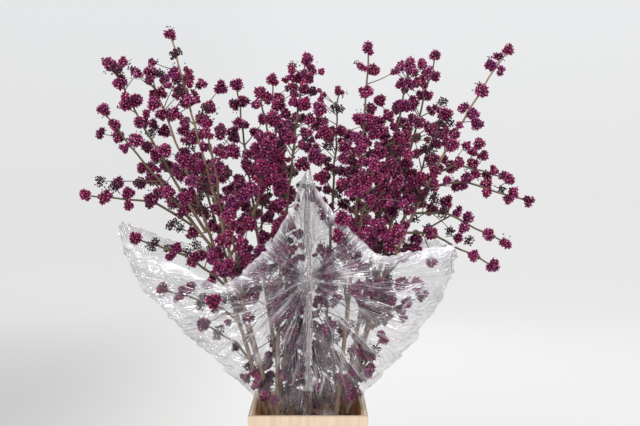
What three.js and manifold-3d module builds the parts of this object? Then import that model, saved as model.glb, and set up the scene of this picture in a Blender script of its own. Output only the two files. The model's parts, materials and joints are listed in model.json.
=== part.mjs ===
// Cut beautyberry stems in a wooden box: tall stems fork into shoots that carry round berry clusters
// in pairs, and each half of the bunch stands in a sleeve of clear film tucked into the box.
// Millimetres, +Z up. The origin is under the middle of the box, and x runs across the front, y to the back.
// Heights of stems, shoots and film are counted from the rim of the box.

import * as THREE from "three";
import { mergeGeometries, mergeVertices } from "three/addons/utils/BufferGeometryUtils.js";
import Module from "manifold-3d";

const wasm = await Module();
wasm.setup();

// Box of boards
const BOX_SIDE = 240;
const BOX_HEIGHT = 240;
const BOARD = 12;
const INSIDE = BOX_SIDE - 2 * BOARD;

// Gap that pieces keep where one stands on or grows from another
const CLEAR = 0.3;

// Stems: radius at the foot and at the tip, and how the tubes are cut into faces
const STEM_FOOT_RADIUS = 6;
const STEM_TIP_RADIUS = 1.8;
const STEM_SIDES = 6;
const STEM_STEP = 150;
const TWIG_SIDES = 3;
const BOUGH_FOOT_RADIUS = 3.6;
const SHOOT_FOOT_RADIUS = 3;
const SHOOT_BOW = 0.06;
const LATERAL_RADIUS = 1.6;

// Berry clusters: a pair sits across the shoot at each node, and a single round one ends each shoot
const PAIR_REACH = 26;
const PAIR_RADIUS = 16;
const END_RADIUS = 17;
const BEAD_RADIUS = 17;

// Growth of a shoot: nodes are counted from its tip, and the lower ones fork instead of carrying a pair
const FIRST_NODE = 16;
const NODE_PITCH = 48;
const FORK_SHARE = 0.72;
const LATERAL_LONGEST = 160;
const LATERAL_SHORTEST = 40;
const LATERAL_PITCH = 41;
const LATERAL_ANGLE = 0.9;
const TIP_PAIRS = 3;
const TIP_OVERRUN = 0.7;

// Room that a twig or cluster keeps to what grows from another shoot
const BEAD_STEP = 5;
const TWIG_ROOM = 2.5;
const CLUSTER_ROOM = 1;
const FILM_ROOM = 2;

// How closely a foot is fitted to the limb it grows from
const FOOT_SAMPLES = 12;
const FOOT_STEPS = 12;

// Stems: foot on the floor of the box as [x, y], tip as [x, y, height], bow sideways at mid-length as [x, y],
// and the share of the length that is bare limb before the leading shoot begins.
// forks is the share of a shoot, from its foot, that carries side twigs where it isn't the usual one.
const STEMS = [
  { name: "left_leader", foot: [-16, -30], tip: [-278, -60, 762], bow: [0, 0], bare: 0.6, forks: 0.6 },
  { name: "left_outer", foot: [-32, -6], tip: [-332, 15, 690], bow: [16, 0], bare: 0.66 },
  { name: "left_centre", foot: [-52, -56], tip: [-4, -85, 712], bow: [-30, 0], bare: 0.6 },
  { name: "left_back", foot: [-16, 28], tip: [-160, 115, 680], bow: [-6, 12], bare: 0.6 },
  { name: "left_rear", foot: [-14, 0], tip: [-285, 215, 600], bow: [0, 0], bare: 0.62 },
  { name: "middle_rear", foot: [-14, 50], tip: [-84, 165, 690], bow: [0, 0], bare: 0.62 },
  { name: "right_leader", foot: [50, -24], tip: [409, -30, 738], bow: [-73, 0], bare: 0.76, forks: 0 },
  { name: "right_upright", foot: [30, -56], tip: [122, -80, 732], bow: [8, -10], bare: 0.6, forks: 0.5 },
  { name: "right_inner", foot: [28, -4], tip: [212, 10, 712], bow: [0, 0], bare: 0.62 },
  { name: "right_middle", foot: [46, 22], tip: [272, 60, 736], bow: [-12, 0], bare: 0.64 },
  { name: "right_rear", foot: [18, 12], tip: [305, 220, 620], bow: [-16, 0], bare: 0.62 },
  { name: "centre_rear", foot: [16, 42], tip: [66, 180, 670], bow: [0, 0], bare: 0.6 },
];

// Boughs fork from a stem at a height
const BOUGHS = [
  { name: "left_high_bough", on: "left_outer", height: 340, tip: [-406, -25, 708], bow: [-6, 0], bare: 0.3,
    forks: 0.5 },
  { name: "left_low_bough", on: "left_outer", height: 318, tip: [-418, -60, 612], bow: [0, 0], bare: 0.3,
    forks: 0.5 },
  { name: "left_inner_bough", on: "left_outer", height: 285, tip: [-92, -130, 640], bow: [45, 0], bare: 0.4 },
];

// Side shoots: where each leaves its limb, as a height, and where it ends
const SHOOTS = [
  { name: "left_reach", on: "left_low_bough", height: 362, tip: [-450, -70, 438], forks: 0 },
  { name: "left_brim", on: "left_outer", height: 240, tip: [-352, -50, 352], forks: 0 },
  { name: "left_under_high", on: "left_outer", height: 170, tip: [-300, -40, 246], forks: 0 },
  { name: "left_under_low", on: "left_outer", height: 84, tip: [-222, 20, 165], forks: 0 },
  { name: "left_heart", on: "left_leader", height: 350, tip: [-190, -190, 560] },
  { name: "left_front", on: "left_leader", height: 200, tip: [-150, -210, 400] },
  { name: "left_waist", on: "left_centre", height: 150, tip: [-95, -150, 330] },
  { name: "left_foot", on: "left_centre", height: 12, tip: [-38, -92, 165] },
  { name: "left_core", on: "middle_rear", height: 6, tip: [-42, -6, 130] },
  { name: "left_behind", on: "left_back", height: 300, tip: [-110, 260, 480] },
  { name: "left_far", on: "left_rear", height: 240, tip: [-350, 110, 470], forks: 0.5 },
  { name: "right_reach", on: "right_leader", height: 448, tip: [458, -20, 424], forks: 0 },
  { name: "right_reach_high", on: "right_leader", height: 480, tip: [424, 70, 476], forks: 0 },
  { name: "right_reach_low", on: "right_leader", height: 400, tip: [404, -70, 342], forks: 0 },
  { name: "right_droop", on: "right_leader", height: 360, tip: [378, -60, 294], forks: 0 },
  { name: "right_under_high", on: "right_leader", height: 150, tip: [236, -50, 235] },
  { name: "right_under_low", on: "right_leader", height: 24, tip: [150, -80, 150] },
  { name: "right_heart", on: "right_upright", height: 290, tip: [128, -215, 500] },
  { name: "right_front", on: "right_upright", height: 200, tip: [66, -200, 400] },
  { name: "right_brim", on: "right_inner", height: 200, tip: [175, -185, 370] },
  { name: "right_foot", on: "right_upright", height: 8, tip: [46, -80, 175] },
  { name: "right_core", on: "centre_rear", height: 6, tip: [36, 8, 150] },
  { name: "right_far", on: "right_rear", height: 240, tip: [330, 130, 400] },
];

// Clear film sleeves. side is -1 on the left. spread is how far out the film reaches from the middle plane,
// and rim holds the heights of its cut edge on each side.
const FILM_THICK = 1.2;
const FILM_SEGMENTS = 24;
const FILM_LEVELS = 7;
const FILM_FOLDS = 7;
const FILM_FOLD_DEPTH = 0.025;
const FILM_MOUTH = 104;
const FILM_FOOT = 98;
const FILM_DEPTH = 205;
const FILM_DEPTH_HEIGHT = 330;
const FILM_MIDDLE_GAP = 2;
const FILM_AXIS_SHARE = 0.45;
const FILM_CORNER = 2.6;
const FLARE_POWER = 1.3;
const SLEEVES = [
  { name: "left_film_sleeve", side: -1, spread: 395, height: 385,
    rim: { outer: 385, front: 200, centre: 492, back: 300 } },
  { name: "right_film_sleeve", side: 1, spread: 305, height: 320,
    rim: { outer: 330, front: 296, centre: 492, back: 340 } },
];

// Colours from the photograph, as the eye sees them
const WOOD = { color: 0xe8d5b0, roughness: 0.75, metalness: 0 };
const BARK = { color: 0x8d7a5b, roughness: 0.85, metalness: 0 };
const BERRIES = { color: 0x8a2463, roughness: 0.35, metalness: 0 };
const FILM = { color: 0xe9eaee, roughness: 0.1, metalness: 0, transparent: true, opacity: 0.3 };

// Arithmetic

function randomFrom(seed) {
  let state = (seed * 7919 + 12345) % 2147483647;
  return () => {
    state = (state * 16807) % 2147483647;
    return state / 2147483647;
  };
}

const vector = (x, y, z) => new THREE.Vector3(x, y, z);
const mix = (a, b, share) => a + (b - a) * share;
const smooth = (share) => share * share * (3 - 2 * share);

// A limb's line from start to end with a sideways bow, and its radius along it
function limbLine(start, end, bow, startRadius, endRadius) {
  return {
    start,
    end,
    length: start.distanceTo(end),
    at: (t) => start.clone().lerp(end, t).addScaledVector(bow, 4 * t * (1 - t)),
    heading: (t) => end.clone().sub(start).addScaledVector(bow, 4 - 8 * t).normalize(),
    radius: (t) => mix(startRadius, endRadius, t),
  };
}

// The same line as straight runs between stops, so that what grows from it starts on its faces
function straightRuns(line, stops) {
  const at = (t) => {
    const next = Math.max(1, stops.findIndex((stop) => stop >= t));
    const share = (t - stops[next - 1]) / (stops[next] - stops[next - 1]);
    return line.at(stops[next - 1]).lerp(line.at(stops[next]), share);
  };
  return { ...line, at };
}

const evenStops = (from, to, runs) => Array.from({ length: runs + 1 }, (_, i) => mix(from, to, i / runs));

// Share of a limb at which it passes a height above the rim
function shareAtHeight(line, height) {
  return (BOX_HEIGHT + height - line.start.z) / (line.end.z - line.start.z);
}

// Solids

function solidOf(geometry) {
  const bare = geometry.clone();
  bare.deleteAttribute("normal");
  bare.deleteAttribute("uv");
  const merged = mergeVertices(bare, 1e-4);
  return new wasm.Manifold(
    new wasm.Mesh({
      numProp: 3,
      vertProperties: new Float32Array(merged.attributes.position.array),
      triVerts: new Uint32Array(merged.index.array),
    }),
  );
}

function geometryOf(solid) {
  const mesh = solid.getMesh();
  const positions = new Float32Array(mesh.numVert * 3);
  for (let i = 0; i < mesh.numVert; i++) {
    positions.set(mesh.vertProperties.subarray(i * mesh.numProp, i * mesh.numProp + 3), i * 3);
  }
  const geometry = new THREE.BufferGeometry();
  geometry.setAttribute("position", new THREE.BufferAttribute(positions, 3));
  geometry.setIndex(new THREE.BufferAttribute(new Uint32Array(mesh.triVerts), 1));
  geometry.computeVertexNormals();
  return geometry;
}

// The way a ring's corners turn about a limb is kept from its first heading
function ringBase(heading) {
  return Math.abs(heading.z) > 0.8 ? vector(1, 0, 0) : vector(0, 0, 1);
}

// A point of a ring around a limb, from the point of a level unit ring
function ringPoint(centre, base, heading, radius, x, z) {
  const right = base.clone().cross(heading).normalize();
  const up = heading.clone().cross(right);
  return centre.clone().addScaledVector(right, x * radius).addScaledVector(up, -z * radius);
}

// A cylinder bent along a limb with a ring at each stop. A flat foot keeps its first ring level.
function tube(line, stops, sides, flatFoot = false) {
  const runs = stops.length - 1;
  const geometry = new THREE.CylinderGeometry(1, 1, 1, sides, runs);
  const position = geometry.attributes.position;
  const base = ringBase(line.heading(stops[0]));
  for (let i = 0; i < position.count; i++) {
    const ring = Math.round((position.getY(i) + 0.5) * runs);
    const t = stops[ring];
    const heading = flatFoot && ring === 0 ? vector(0, 0, 1) : line.heading(t);
    const point = ringPoint(line.at(t), base, heading, line.radius(t), position.getX(i), position.getZ(i));
    position.setXYZ(i, point.x, point.y, point.z);
  }
  return geometry;
}

// A pointed twig of three flat faces
function spike(from, to, radius) {
  const geometry = new THREE.ConeGeometry(radius, from.distanceTo(to), TWIG_SIDES);
  const heading = to.clone().sub(from).normalize();
  geometry.applyQuaternion(new THREE.Quaternion().setFromUnitVectors(vector(0, 1, 0), heading));
  const middle = from.clone().lerp(to, 0.5);
  geometry.translate(middle.x, middle.y, middle.z);
  return geometry;
}

// A faceted berry cluster, stretched across its twig, that turns a face square to the twig at each end
function cluster(centre, heading, side, halfLength, radius) {
  const geometry = new THREE.IcosahedronGeometry(1, 0);
  const corners = geometry.attributes.position;
  const face = vector(0, 0, 0);
  for (let i = 0; i < 3; i++) face.add(vector(0, 0, 0).fromBufferAttribute(corners, i));
  geometry.applyQuaternion(new THREE.Quaternion().setFromUnitVectors(face.normalize(), vector(0, 1, 0)));
  geometry.scale(halfLength, radius, radius);
  const turned = new THREE.Matrix4().makeBasis(side, heading, side.clone().cross(heading));
  geometry.applyMatrix4(turned.setPosition(centre));
  return geometry;
}

// Film sleeves

function flare(share) {
  return Math.sin((Math.PI / 2) * Math.min(1, Math.max(0, share))) ** FLARE_POWER;
}

// Half-widths of a sleeve's cross-section at a height above the rim of the box
function sleeveSection(sleeve, height) {
  if (height <= 0) {
    const outer = mix(FILM_MOUTH, FILM_FOOT, -height / (BOX_HEIGHT - BOARD));
    return { outer, depth: outer - 2, axis: sleeve.side * outer * FILM_AXIS_SHARE };
  }
  const outer = mix(FILM_MOUTH, sleeve.spread, flare(height / sleeve.height));
  const depth = mix(FILM_MOUTH - 2, FILM_DEPTH, flare(height / FILM_DEPTH_HEIGHT));
  return { outer, depth, axis: sleeve.side * outer * FILM_AXIS_SHARE };
}

// The film's distance from its axis. The angle is 0 outwards, a quarter turn at the front
// and a half turn at the middle.
function sleeveRadius(sleeve, angle, height) {
  const { outer, depth, axis } = sleeveSection(sleeve, height);
  const inwards = Math.cos(angle) < 0;
  const halfWidth = inwards ? Math.abs(axis) - FILM_MIDDLE_GAP : outer - Math.abs(axis);
  const across = Math.abs(Math.cos(angle) / halfWidth) ** FILM_CORNER;
  const through = Math.abs(Math.sin(angle) / depth) ** FILM_CORNER;
  const folds = Math.sin(FILM_FOLDS * angle + height / 60) * flare(height / 200);
  const free = (1 + Math.cos(angle)) / 2;
  return (across + through) ** (-1 / FILM_CORNER) * (1 - FILM_FOLD_DEPTH * free * (1 + folds));
}

function rimHeight(sleeve, angle) {
  const { outer, front, centre, back } = sleeve.rim;
  const corners = [outer, front, centre, back, outer];
  const quarter = (((angle / (Math.PI / 2)) % 4) + 4) % 4;
  const from = Math.floor(quarter);
  return mix(corners[from], corners[from + 1], smooth(quarter - from));
}

// How far a point is from the film of one sleeve
function filmDistance(sleeve, point) {
  const height = point.z - BOX_HEIGHT;
  const { axis } = sleeveSection(sleeve, height);
  const out = (point.x - axis) * sleeve.side;
  const angle = Math.atan2(-point.y, out);
  const rim = rimHeight(sleeve, angle);
  const level = Math.min(height, rim);
  const sideways = Math.hypot(out, point.y) - sleeveRadius(sleeve, angle, level);
  return Math.hypot(sideways * 0.72, height - level);
}

// A closed tube with a wall, between the radii 1 and 2. Both skins are cut into triangles in the same way.
function walledTube(segments, levels) {
  const openCylinder = (top, bottom, height, y, rows) =>
    new THREE.CylinderGeometry(top, bottom, height, segments, rows, true).translate(0, y, 0);
  return mergeGeometries([
    openCylinder(2, 2, 1, 0.5, levels),
    mirrored(openCylinder(1, 1, 1, 0.5, levels)),
    openCylinder(1, 2, 0, 1, 1),
    openCylinder(2, 1, 0, 0, 1),
  ]);
}

function filmSleeve(sleeve) {
  const geometry = walledTube(FILM_SEGMENTS, FILM_LEVELS);
  const position = geometry.attributes.position;
  const foot = BOARD + CLEAR - BOX_HEIGHT;
  const inBox = 1 / FILM_LEVELS;
  for (let i = 0; i < position.count; i++) {
    const inner = Math.hypot(position.getX(i), position.getZ(i)) < 1.5;
    const angle = Math.atan2(position.getX(i), position.getZ(i));
    const level = position.getY(i);
    const height = level < inBox ? mix(foot, 0, level / inBox)
      : mix(0, rimHeight(sleeve, angle), (level - inBox) / (1 - inBox));
    const radius = sleeveRadius(sleeve, angle, height) - (inner ? FILM_THICK : 0);
    const { axis } = sleeveSection(sleeve, height);
    position.setXYZ(
      i,
      axis + sleeve.side * radius * Math.cos(angle),
      -radius * Math.sin(angle),
      BOX_HEIGHT + height,
    );
  }
  const solid = solidOf(geometry);
  return solid.volume() > 0 ? geometry : mirrored(geometry);
}

// The same surface with its faces turned round
function mirrored(geometry) {
  const index = geometry.index.array;
  for (let i = 0; i < index.length; i += 3) [index[i + 1], index[i + 2]] = [index[i + 2], index[i + 1]];
  return geometry;
}

// Room: everything that stands is kept as rows of round beads, each with its owner

const beads = [];

function beadsAlong(from, to, radius) {
  const count = Math.max(1, Math.ceil(from.distanceTo(to) / BEAD_STEP));
  return evenStops(0, 1, count).map((share) => ({ at: from.clone().lerp(to, share), radius, twig: true }));
}

function limbBeads(line, t0, t1) {
  const count = Math.max(1, Math.ceil((line.length * (t1 - t0)) / BEAD_STEP));
  return evenStops(t0, t1, count).map((t) => {
    return { at: line.at(t), radius: line.radius(t) + TWIG_ROOM, twig: true };
  });
}

function claim(owner, row) {
  for (const bead of row) beads.push({ ...bead, owner });
}

// Twigs of one owner may meet each other, and its clusters may meet its twigs
function isFree(owner, row) {
  const clears = (bead, { at, radius }) =>
    (bead.owner === owner && bead.twig) || bead.at.distanceTo(at) > bead.radius + radius + CLUSTER_ROOM;
  return row.every(
    (wanted) =>
      wanted.at.z - wanted.radius > BOX_HEIGHT &&
      SLEEVES.every((sleeve) => filmDistance(sleeve, wanted.at) > wanted.radius + FILM_ROOM) &&
      beads.every((bead) => clears(bead, wanted)),
  );
}

// Limbs

function stemLine(row) {
  const foot = vector(row.foot[0], row.foot[1], BOARD + CLEAR);
  const tip = vector(row.tip[0], row.tip[1], BOX_HEIGHT + row.tip[2]);
  return limbLine(foot, tip, vector(row.bow[0], row.bow[1], 0), STEM_FOOT_RADIUS, STEM_TIP_RADIUS);
}

// Points all round the edge of a limb's flat foot
function footEdge(centre, heading, radius, sides) {
  const base = ringBase(heading);
  const corners = Array.from({ length: sides + 1 }, (_, i) => {
    const angle = (2 * Math.PI * i) / sides;
    return ringPoint(centre, base, heading, radius, Math.sin(angle), Math.cos(angle));
  });
  return corners.slice(1).flatMap((corner, i) => {
    return evenStops(0, 1, FOOT_SAMPLES).map((share) => corners[i].clone().lerp(corner, share));
  });
}

// The least distance from any of the points to the faces of a geometry
function distanceTo(geometry, points) {
  const position = geometry.attributes.position;
  const index = geometry.index.array;
  const face = new THREE.Triangle();
  const nearest = vector(0, 0, 0);
  let least = Infinity;
  for (let i = 0; i < index.length; i += 3) {
    face.setFromAttributeAndIndices(position, index[i], index[i + 1], index[i + 2]);
    for (const point of points) {
      face.closestPointToPoint(point, nearest);
      least = Math.min(least, nearest.distanceTo(point));
    }
  }
  return least;
}

// The line of what grows from a limb's side. Its foot is moved in along its heading until it is just clear.
function sideLine(parent, row, radius, sides, bow) {
  const t = shareAtHeight(parent.line, row.height);
  const root = parent.line.at(t);
  const tip = vector(row.tip[0], row.tip[1], BOX_HEIGHT + row.tip[2]);
  const heading = tip.clone().sub(root).addScaledVector(bow, 4).normalize();
  const lean = heading.dot(parent.line.heading(t));
  const start = root.addScaledVector(heading, (parent.line.radius(t) + radius) / Math.sqrt(1 - lean * lean));
  for (let i = 0; i < FOOT_STEPS; i++) {
    const gap = distanceTo(parent.geometry, footEdge(start, heading, radius, sides));
    start.addScaledVector(heading, CLEAR - gap);
  }
  return limbLine(start, tip, bow, radius, STEM_TIP_RADIUS);
}

const limbs = new Map();
const shoots = [];

// A limb that is bare to a share of its length and then goes on as its leading shoot
function addLimb(name, line, row, flatFoot) {
  const stops = evenStops(0, row.bare, Math.ceil((line.length * row.bare) / STEM_STEP));
  limbs.set(name, { name, line, bare: row.bare, geometry: tube(line, stops, STEM_SIDES, flatFoot) });
  const start = row.bare + CLEAR / line.length;
  shoots.push({
    name: `${name}_shoot`,
    forks: row.forks ?? FORK_SHARE,
    line: {
      length: line.length * (1 - start),
      at: (t) => line.at(mix(start, 1, t)),
      heading: (t) => line.heading(mix(start, 1, t)),
      radius: (t) => line.radius(mix(start, 1, t)),
    },
  });
}

for (const row of STEMS) addLimb(`${row.name}_stem`, stemLine(row), row, true);
for (const row of BOUGHS) {
  const bow = vector(row.bow[0], row.bow[1], 0);
  const line = sideLine(limbs.get(`${row.on}_stem`), row, BOUGH_FOOT_RADIUS, STEM_SIDES, bow);
  addLimb(row.name, line, row, false);
}
for (const row of SHOOTS) {
  const parent = limbs.get(`${row.on}_stem`) ?? limbs.get(row.on);
  const bow = vector(0, 0, SHOOT_BOW * Math.hypot(row.tip[0], row.tip[1]));
  const line = sideLine(parent, row, SHOOT_FOOT_RADIUS, TWIG_SIDES, bow);
  shoots.push({ name: `${row.name}_shoot`, forks: row.forks ?? FORK_SHARE, line });
}

for (const { name, line, bare } of limbs.values()) claim(name, limbBeads(line, 0, bare));
for (const { name, line } of shoots) {
  claim(name, limbBeads(line, 0, 1));
  claim(name, [{ at: line.at(1), radius: END_RADIUS }]);
}

// Growth of one shoot: clusters in pairs near its tip, and pairs of side twigs lower down

function crossways(heading, turn) {
  const base = Math.abs(heading.z) > 0.9 ? vector(1, 0, 0) : vector(0, 0, 1);
  const right = base.cross(heading).normalize();
  return right.applyAxisAngle(heading, turn);
}

function growShoot(shoot, seed) {
  const { name } = shoot;
  const { length } = shoot.line;
  const random = randomFrom(seed);
  const phase = random() * Math.PI;
  const nodes = [];
  for (let from = END_RADIUS + NODE_PITCH / 2; from < length - FIRST_NODE; from += NODE_PITCH) {
    const forks = nodes.length > 1 && 1 - from / length < shoot.forks;
    const turn = phase + (nodes.length * Math.PI) / 2;
    nodes.push({ t: 1 - from / length, forks, turn, vigour: random() });
  }
  const pairs = nodes.filter((node) => !node.forks).map((node) => node.t);
  const upright = pairs[Math.min(TIP_PAIRS, pairs.length) - 1] ?? 0;
  const stops = [0, ...pairs.filter((t) => t <= upright).reverse(), 1];
  const line = straightRuns(shoot.line, stops);
  const tip = line.at(1);
  const tipHeading = tip.clone().sub(line.at(upright)).normalize();
  const point = tip.clone().addScaledVector(tipHeading, END_RADIUS * TIP_OVERRUN);
  const parts = [cluster(tip, tipHeading, crossways(tipHeading, 0), END_RADIUS, END_RADIUS)];
  parts.push(spike(line.at(upright), point, line.radius(upright)));
  if (upright > 0) parts.push(tube(line, stops.slice(0, -1), TWIG_SIDES));
  for (const { t, forks, turn, vigour } of nodes) {
    const side = crossways(line.heading(t), turn);
    if (!forks) {
      parts.push(...growPair(name, line.at(t), line.heading(t), side));
      continue;
    }
    for (const hand of [1, -1]) {
      const reach = mix(LATERAL_SHORTEST, LATERAL_LONGEST, (1 - t) * mix(0.6, 1, vigour));
      parts.push(...growLateral(name, line, t, side.clone().multiplyScalar(hand), reach));
    }
  }
  return parts;
}

function growPair(name, centre, heading, side) {
  const offset = PAIR_REACH - PAIR_RADIUS;
  const row = [-1, 0, 1].map((hand) => ({
    at: centre.clone().addScaledVector(side, hand * offset),
    radius: PAIR_RADIUS,
  }));
  if (!isFree(name, row)) return [];
  claim(name, row);
  return [cluster(centre, heading, side, PAIR_REACH, PAIR_RADIUS)];
}

function growLateral(name, line, t, side, reach) {
  const heading = line.heading(t).multiplyScalar(Math.cos(LATERAL_ANGLE));
  heading.addScaledVector(side, Math.sin(LATERAL_ANGLE)).normalize();
  const across = crossways(heading, 0);
  const root = line.at(t);
  const count = Math.max(1, Math.round(reach / LATERAL_PITCH));
  const along = (share) => root.clone().addScaledVector(heading, reach * share);
  const parts = [];
  const room = [];
  let grown = 0;
  for (let i = 1; i <= count; i++) {
    const centre = along(i / count);
    const row = beadsAlong(along(grown), centre, LATERAL_RADIUS + TWIG_ROOM).slice(1);
    row.push({ at: centre, radius: BEAD_RADIUS });
    if (!isFree(name, row)) break;
    room.push(...row);
    parts.push(cluster(centre, heading, across, BEAD_RADIUS, BEAD_RADIUS));
    grown = i / count;
  }
  claim(name, room);
  const point = along(grown).addScaledVector(heading, BEAD_RADIUS * TIP_OVERRUN);
  if (grown > 0) parts.push(spike(root, point, LATERAL_RADIUS));
  return parts;
}

// The scene

const root = new THREE.Group();

function add(name, geometry, finish) {
  const mesh = new THREE.Mesh(geometry, new THREE.MeshStandardMaterial(finish));
  mesh.name = name;
  root.add(mesh);
}

function board(name, size, centre) {
  const geometry = new THREE.BoxGeometry(...size);
  geometry.translate(...centre);
  add(name, geometry, WOOD);
}

const boardMiddle = (BOX_SIDE - BOARD) / 2;
board("box_front", [BOX_SIDE, BOARD, BOX_HEIGHT], [0, -boardMiddle, BOX_HEIGHT / 2]);
board("box_back", [BOX_SIDE, BOARD, BOX_HEIGHT], [0, boardMiddle, BOX_HEIGHT / 2]);
board("box_left", [BOARD, INSIDE, BOX_HEIGHT], [-boardMiddle, 0, BOX_HEIGHT / 2]);
board("box_right", [BOARD, INSIDE, BOX_HEIGHT], [boardMiddle, 0, BOX_HEIGHT / 2]);
board("box_floor", [INSIDE, INSIDE, BOARD], [0, 0, BOARD / 2]);

for (const sleeve of SLEEVES) add(sleeve.name, filmSleeve(sleeve), FILM);

for (const { name, geometry } of limbs.values()) add(name, geometry, BARK);

shoots.forEach((shoot, i) => {
  const parts = growShoot(shoot, i + 1).map(solidOf);
  add(shoot.name, geometryOf(wasm.Manifold.union(parts)), BERRIES);
});

export default root;
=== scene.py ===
# Cut beautyberry branches in a wooden box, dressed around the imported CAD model.
# The plant grows here by the rule of the part's source, in its millimetres, and meshes are made in metres.
# x runs across the front of the box, y to the back and z up, from the middle of the box's underside.

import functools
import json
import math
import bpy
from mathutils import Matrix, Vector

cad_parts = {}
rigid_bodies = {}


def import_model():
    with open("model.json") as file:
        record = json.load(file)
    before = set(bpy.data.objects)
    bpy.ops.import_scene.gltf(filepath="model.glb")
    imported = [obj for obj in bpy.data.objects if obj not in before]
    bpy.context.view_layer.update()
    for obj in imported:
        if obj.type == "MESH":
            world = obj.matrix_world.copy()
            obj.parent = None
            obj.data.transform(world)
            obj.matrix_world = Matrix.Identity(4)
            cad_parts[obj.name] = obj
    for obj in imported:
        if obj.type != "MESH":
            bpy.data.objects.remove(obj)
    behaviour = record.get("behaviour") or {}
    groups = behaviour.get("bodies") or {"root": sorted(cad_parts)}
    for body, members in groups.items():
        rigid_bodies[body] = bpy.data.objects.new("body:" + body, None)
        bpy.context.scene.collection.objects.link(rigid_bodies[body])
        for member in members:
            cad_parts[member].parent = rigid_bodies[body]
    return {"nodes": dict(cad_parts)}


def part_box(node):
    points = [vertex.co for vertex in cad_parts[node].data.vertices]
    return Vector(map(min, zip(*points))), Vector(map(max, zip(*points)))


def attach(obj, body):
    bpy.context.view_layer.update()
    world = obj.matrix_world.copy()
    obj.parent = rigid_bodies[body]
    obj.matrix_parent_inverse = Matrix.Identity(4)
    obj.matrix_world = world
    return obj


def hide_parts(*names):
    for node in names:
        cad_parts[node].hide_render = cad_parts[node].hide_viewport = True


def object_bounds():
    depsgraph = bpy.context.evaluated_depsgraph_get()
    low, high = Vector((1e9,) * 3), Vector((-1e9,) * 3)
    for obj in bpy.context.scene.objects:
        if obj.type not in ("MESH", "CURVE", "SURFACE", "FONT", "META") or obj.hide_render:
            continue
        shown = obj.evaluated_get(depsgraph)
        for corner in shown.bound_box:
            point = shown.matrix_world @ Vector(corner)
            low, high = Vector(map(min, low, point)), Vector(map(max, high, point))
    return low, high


bl_info = {
    "name": "Beautyberry branches in a box",
    "version": (1, 0, 0),
    "blender": (4, 5, 0),
    "location": "3D View > Sidebar > Branches",
    "description": "Dresses a box of cut berry branches with bark, twigs, berries, clear film and plywood",
    "category": "Object",
}

from types import SimpleNamespace

import bmesh
import bpy
import numpy as np
from bpy.props import FloatProperty, FloatVectorProperty, IntProperty, PointerProperty
from mathutils import Vector, noise
from mathutils.bvhtree import BVHTree

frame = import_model()
CAD_BOX = [list(corner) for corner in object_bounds()]
MM = 0.001

# Box, from the frame
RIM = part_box("box_front")[1].z / MM
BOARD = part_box("box_floor")[1].z / MM
BOARD_NODES = ("box_front", "box_back", "box_left", "box_right", "box_floor")

# Sizes of the growth, as in the part's source
CLEAR = 0.3
STEM_FOOT_RADIUS = 6
STEM_TIP_RADIUS = 1.8
STEM_SIDES = 6
TWIG_SIDES = 3
BOUGH_FOOT_RADIUS = 3.6
SHOOT_FOOT_RADIUS = 3
SHOOT_BOW = 0.06
LATERAL_RADIUS = 1.6
PAIR_REACH = 26
PAIR_RADIUS = 16
END_RADIUS = 17
BEAD_RADIUS = 17
FIRST_NODE = 16
NODE_PITCH = 48
FORK_SHARE = 0.72
LATERAL_LONGEST = 160
LATERAL_SHORTEST = 40
LATERAL_PITCH = 41
LATERAL_ANGLE = 0.9
TIP_PAIRS = 3
BEAD_STEP = 5
TWIG_ROOM = 2.5
CLUSTER_ROOM = 1
FILM_ROOM = 2
FOOT_SAMPLES = 12
FOOT_STEPS = 12
VIGOUR_LEAST = 0.6
RANDOM_STEP = 16807
RANDOM_SIZE = 2147483647
SEED_STEP = 7919
SEED_START = 12345

# Growth that only the looks have: finer twigs on every limb and shoot, on a stretch in shares of its length
GROWTH_SEED = 5
FINE_STEP = 24
FINE_RADIUS = 15.5
FINE_SIZES = (0.78, 1.1)
FINE_PITCH = 29
FINE_LONGEST = 84
FINE_SHORTEST = 14
FINE_TURN = 2.4
FINE_ANGLE = (0.75, 1.35)
FINE_PRESS = 6
FINE_LOWEST = 40
FINE_SHARE = 0.46
FINE_FILM_SHARE = 0.78
SHOOT_STRETCH = (0.04, 0.93)
LIMB_FIRST = 0.03

# Further passes that fill the full places, and how seldom the open ones are filled
FULL_PASSES = 6
FULL_SIZES = (0.62, 1.0)
OPEN_SHARE = 0.12

# Small clusters by the inner walls of the sleeves: levels above the rim as first, end and step, and y ranges
MIDDLE_LEVELS = (-12, 436, 17)
MIDDLE_LEVEL_DRIFT = 9
MIDDLE_FRONT = (-112, -10)
MIDDLE_HIGH_FRONT = (-70, -10)
MIDDLE_HIGH = 230
MIDDLE_BACK = (10, 110)
MIDDLE_RADII = (8.5, 14)
MIDDLE_OFF = 4
MIDDLE_DROP = 3
MIDDLE_FILM_SHARE = 0.6

# Places in the crown, seen from the front, that are fuller or more open than the rest:
# x, height above the rim and radius
FULL_PLACES = (
    (-373, 704, 32),
    (-322, 700, 28),
    (-250, 660, 30),
    (-7, 680, 46),
    (-14, 584, 46),
    (98, 500, 60),
    (160, 560, 52),
    (190, 455, 48),
    (-84, 505, 40),
    (212, 700, 42),
    (-110, 42, 36),
    (110, 48, 36),
    (-4, 40, 46),
    (-4, 100, 46),
    (-2, 160, 46),
    (0, 225, 48),
    (-47, 216, 36),
    (-118, 287, 34),
    (128, 365, 34),
    (166, 206, 34),
    (296, 570, 26),
    (2, 290, 48),
    (-24, 350, 52),
    (4, 410, 46),
)
OPEN_PLACES = (
    (-440, 455, 50),
    (-360, 340, 60),
    (-300, 366, 52),
    (-175, 215, 48),
    (-120, 130, 34),
    (254, 411, 34),
    (262, 372, 54),
    (160, 318, 44),
    (260, 215, 50),
    (48, 640, 42),
    (304, 622, 34),
    (-275, 200, 50),
    (296, 407, 30),
    (-290, 658, 24),
    (191, 323, 32),
)

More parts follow.
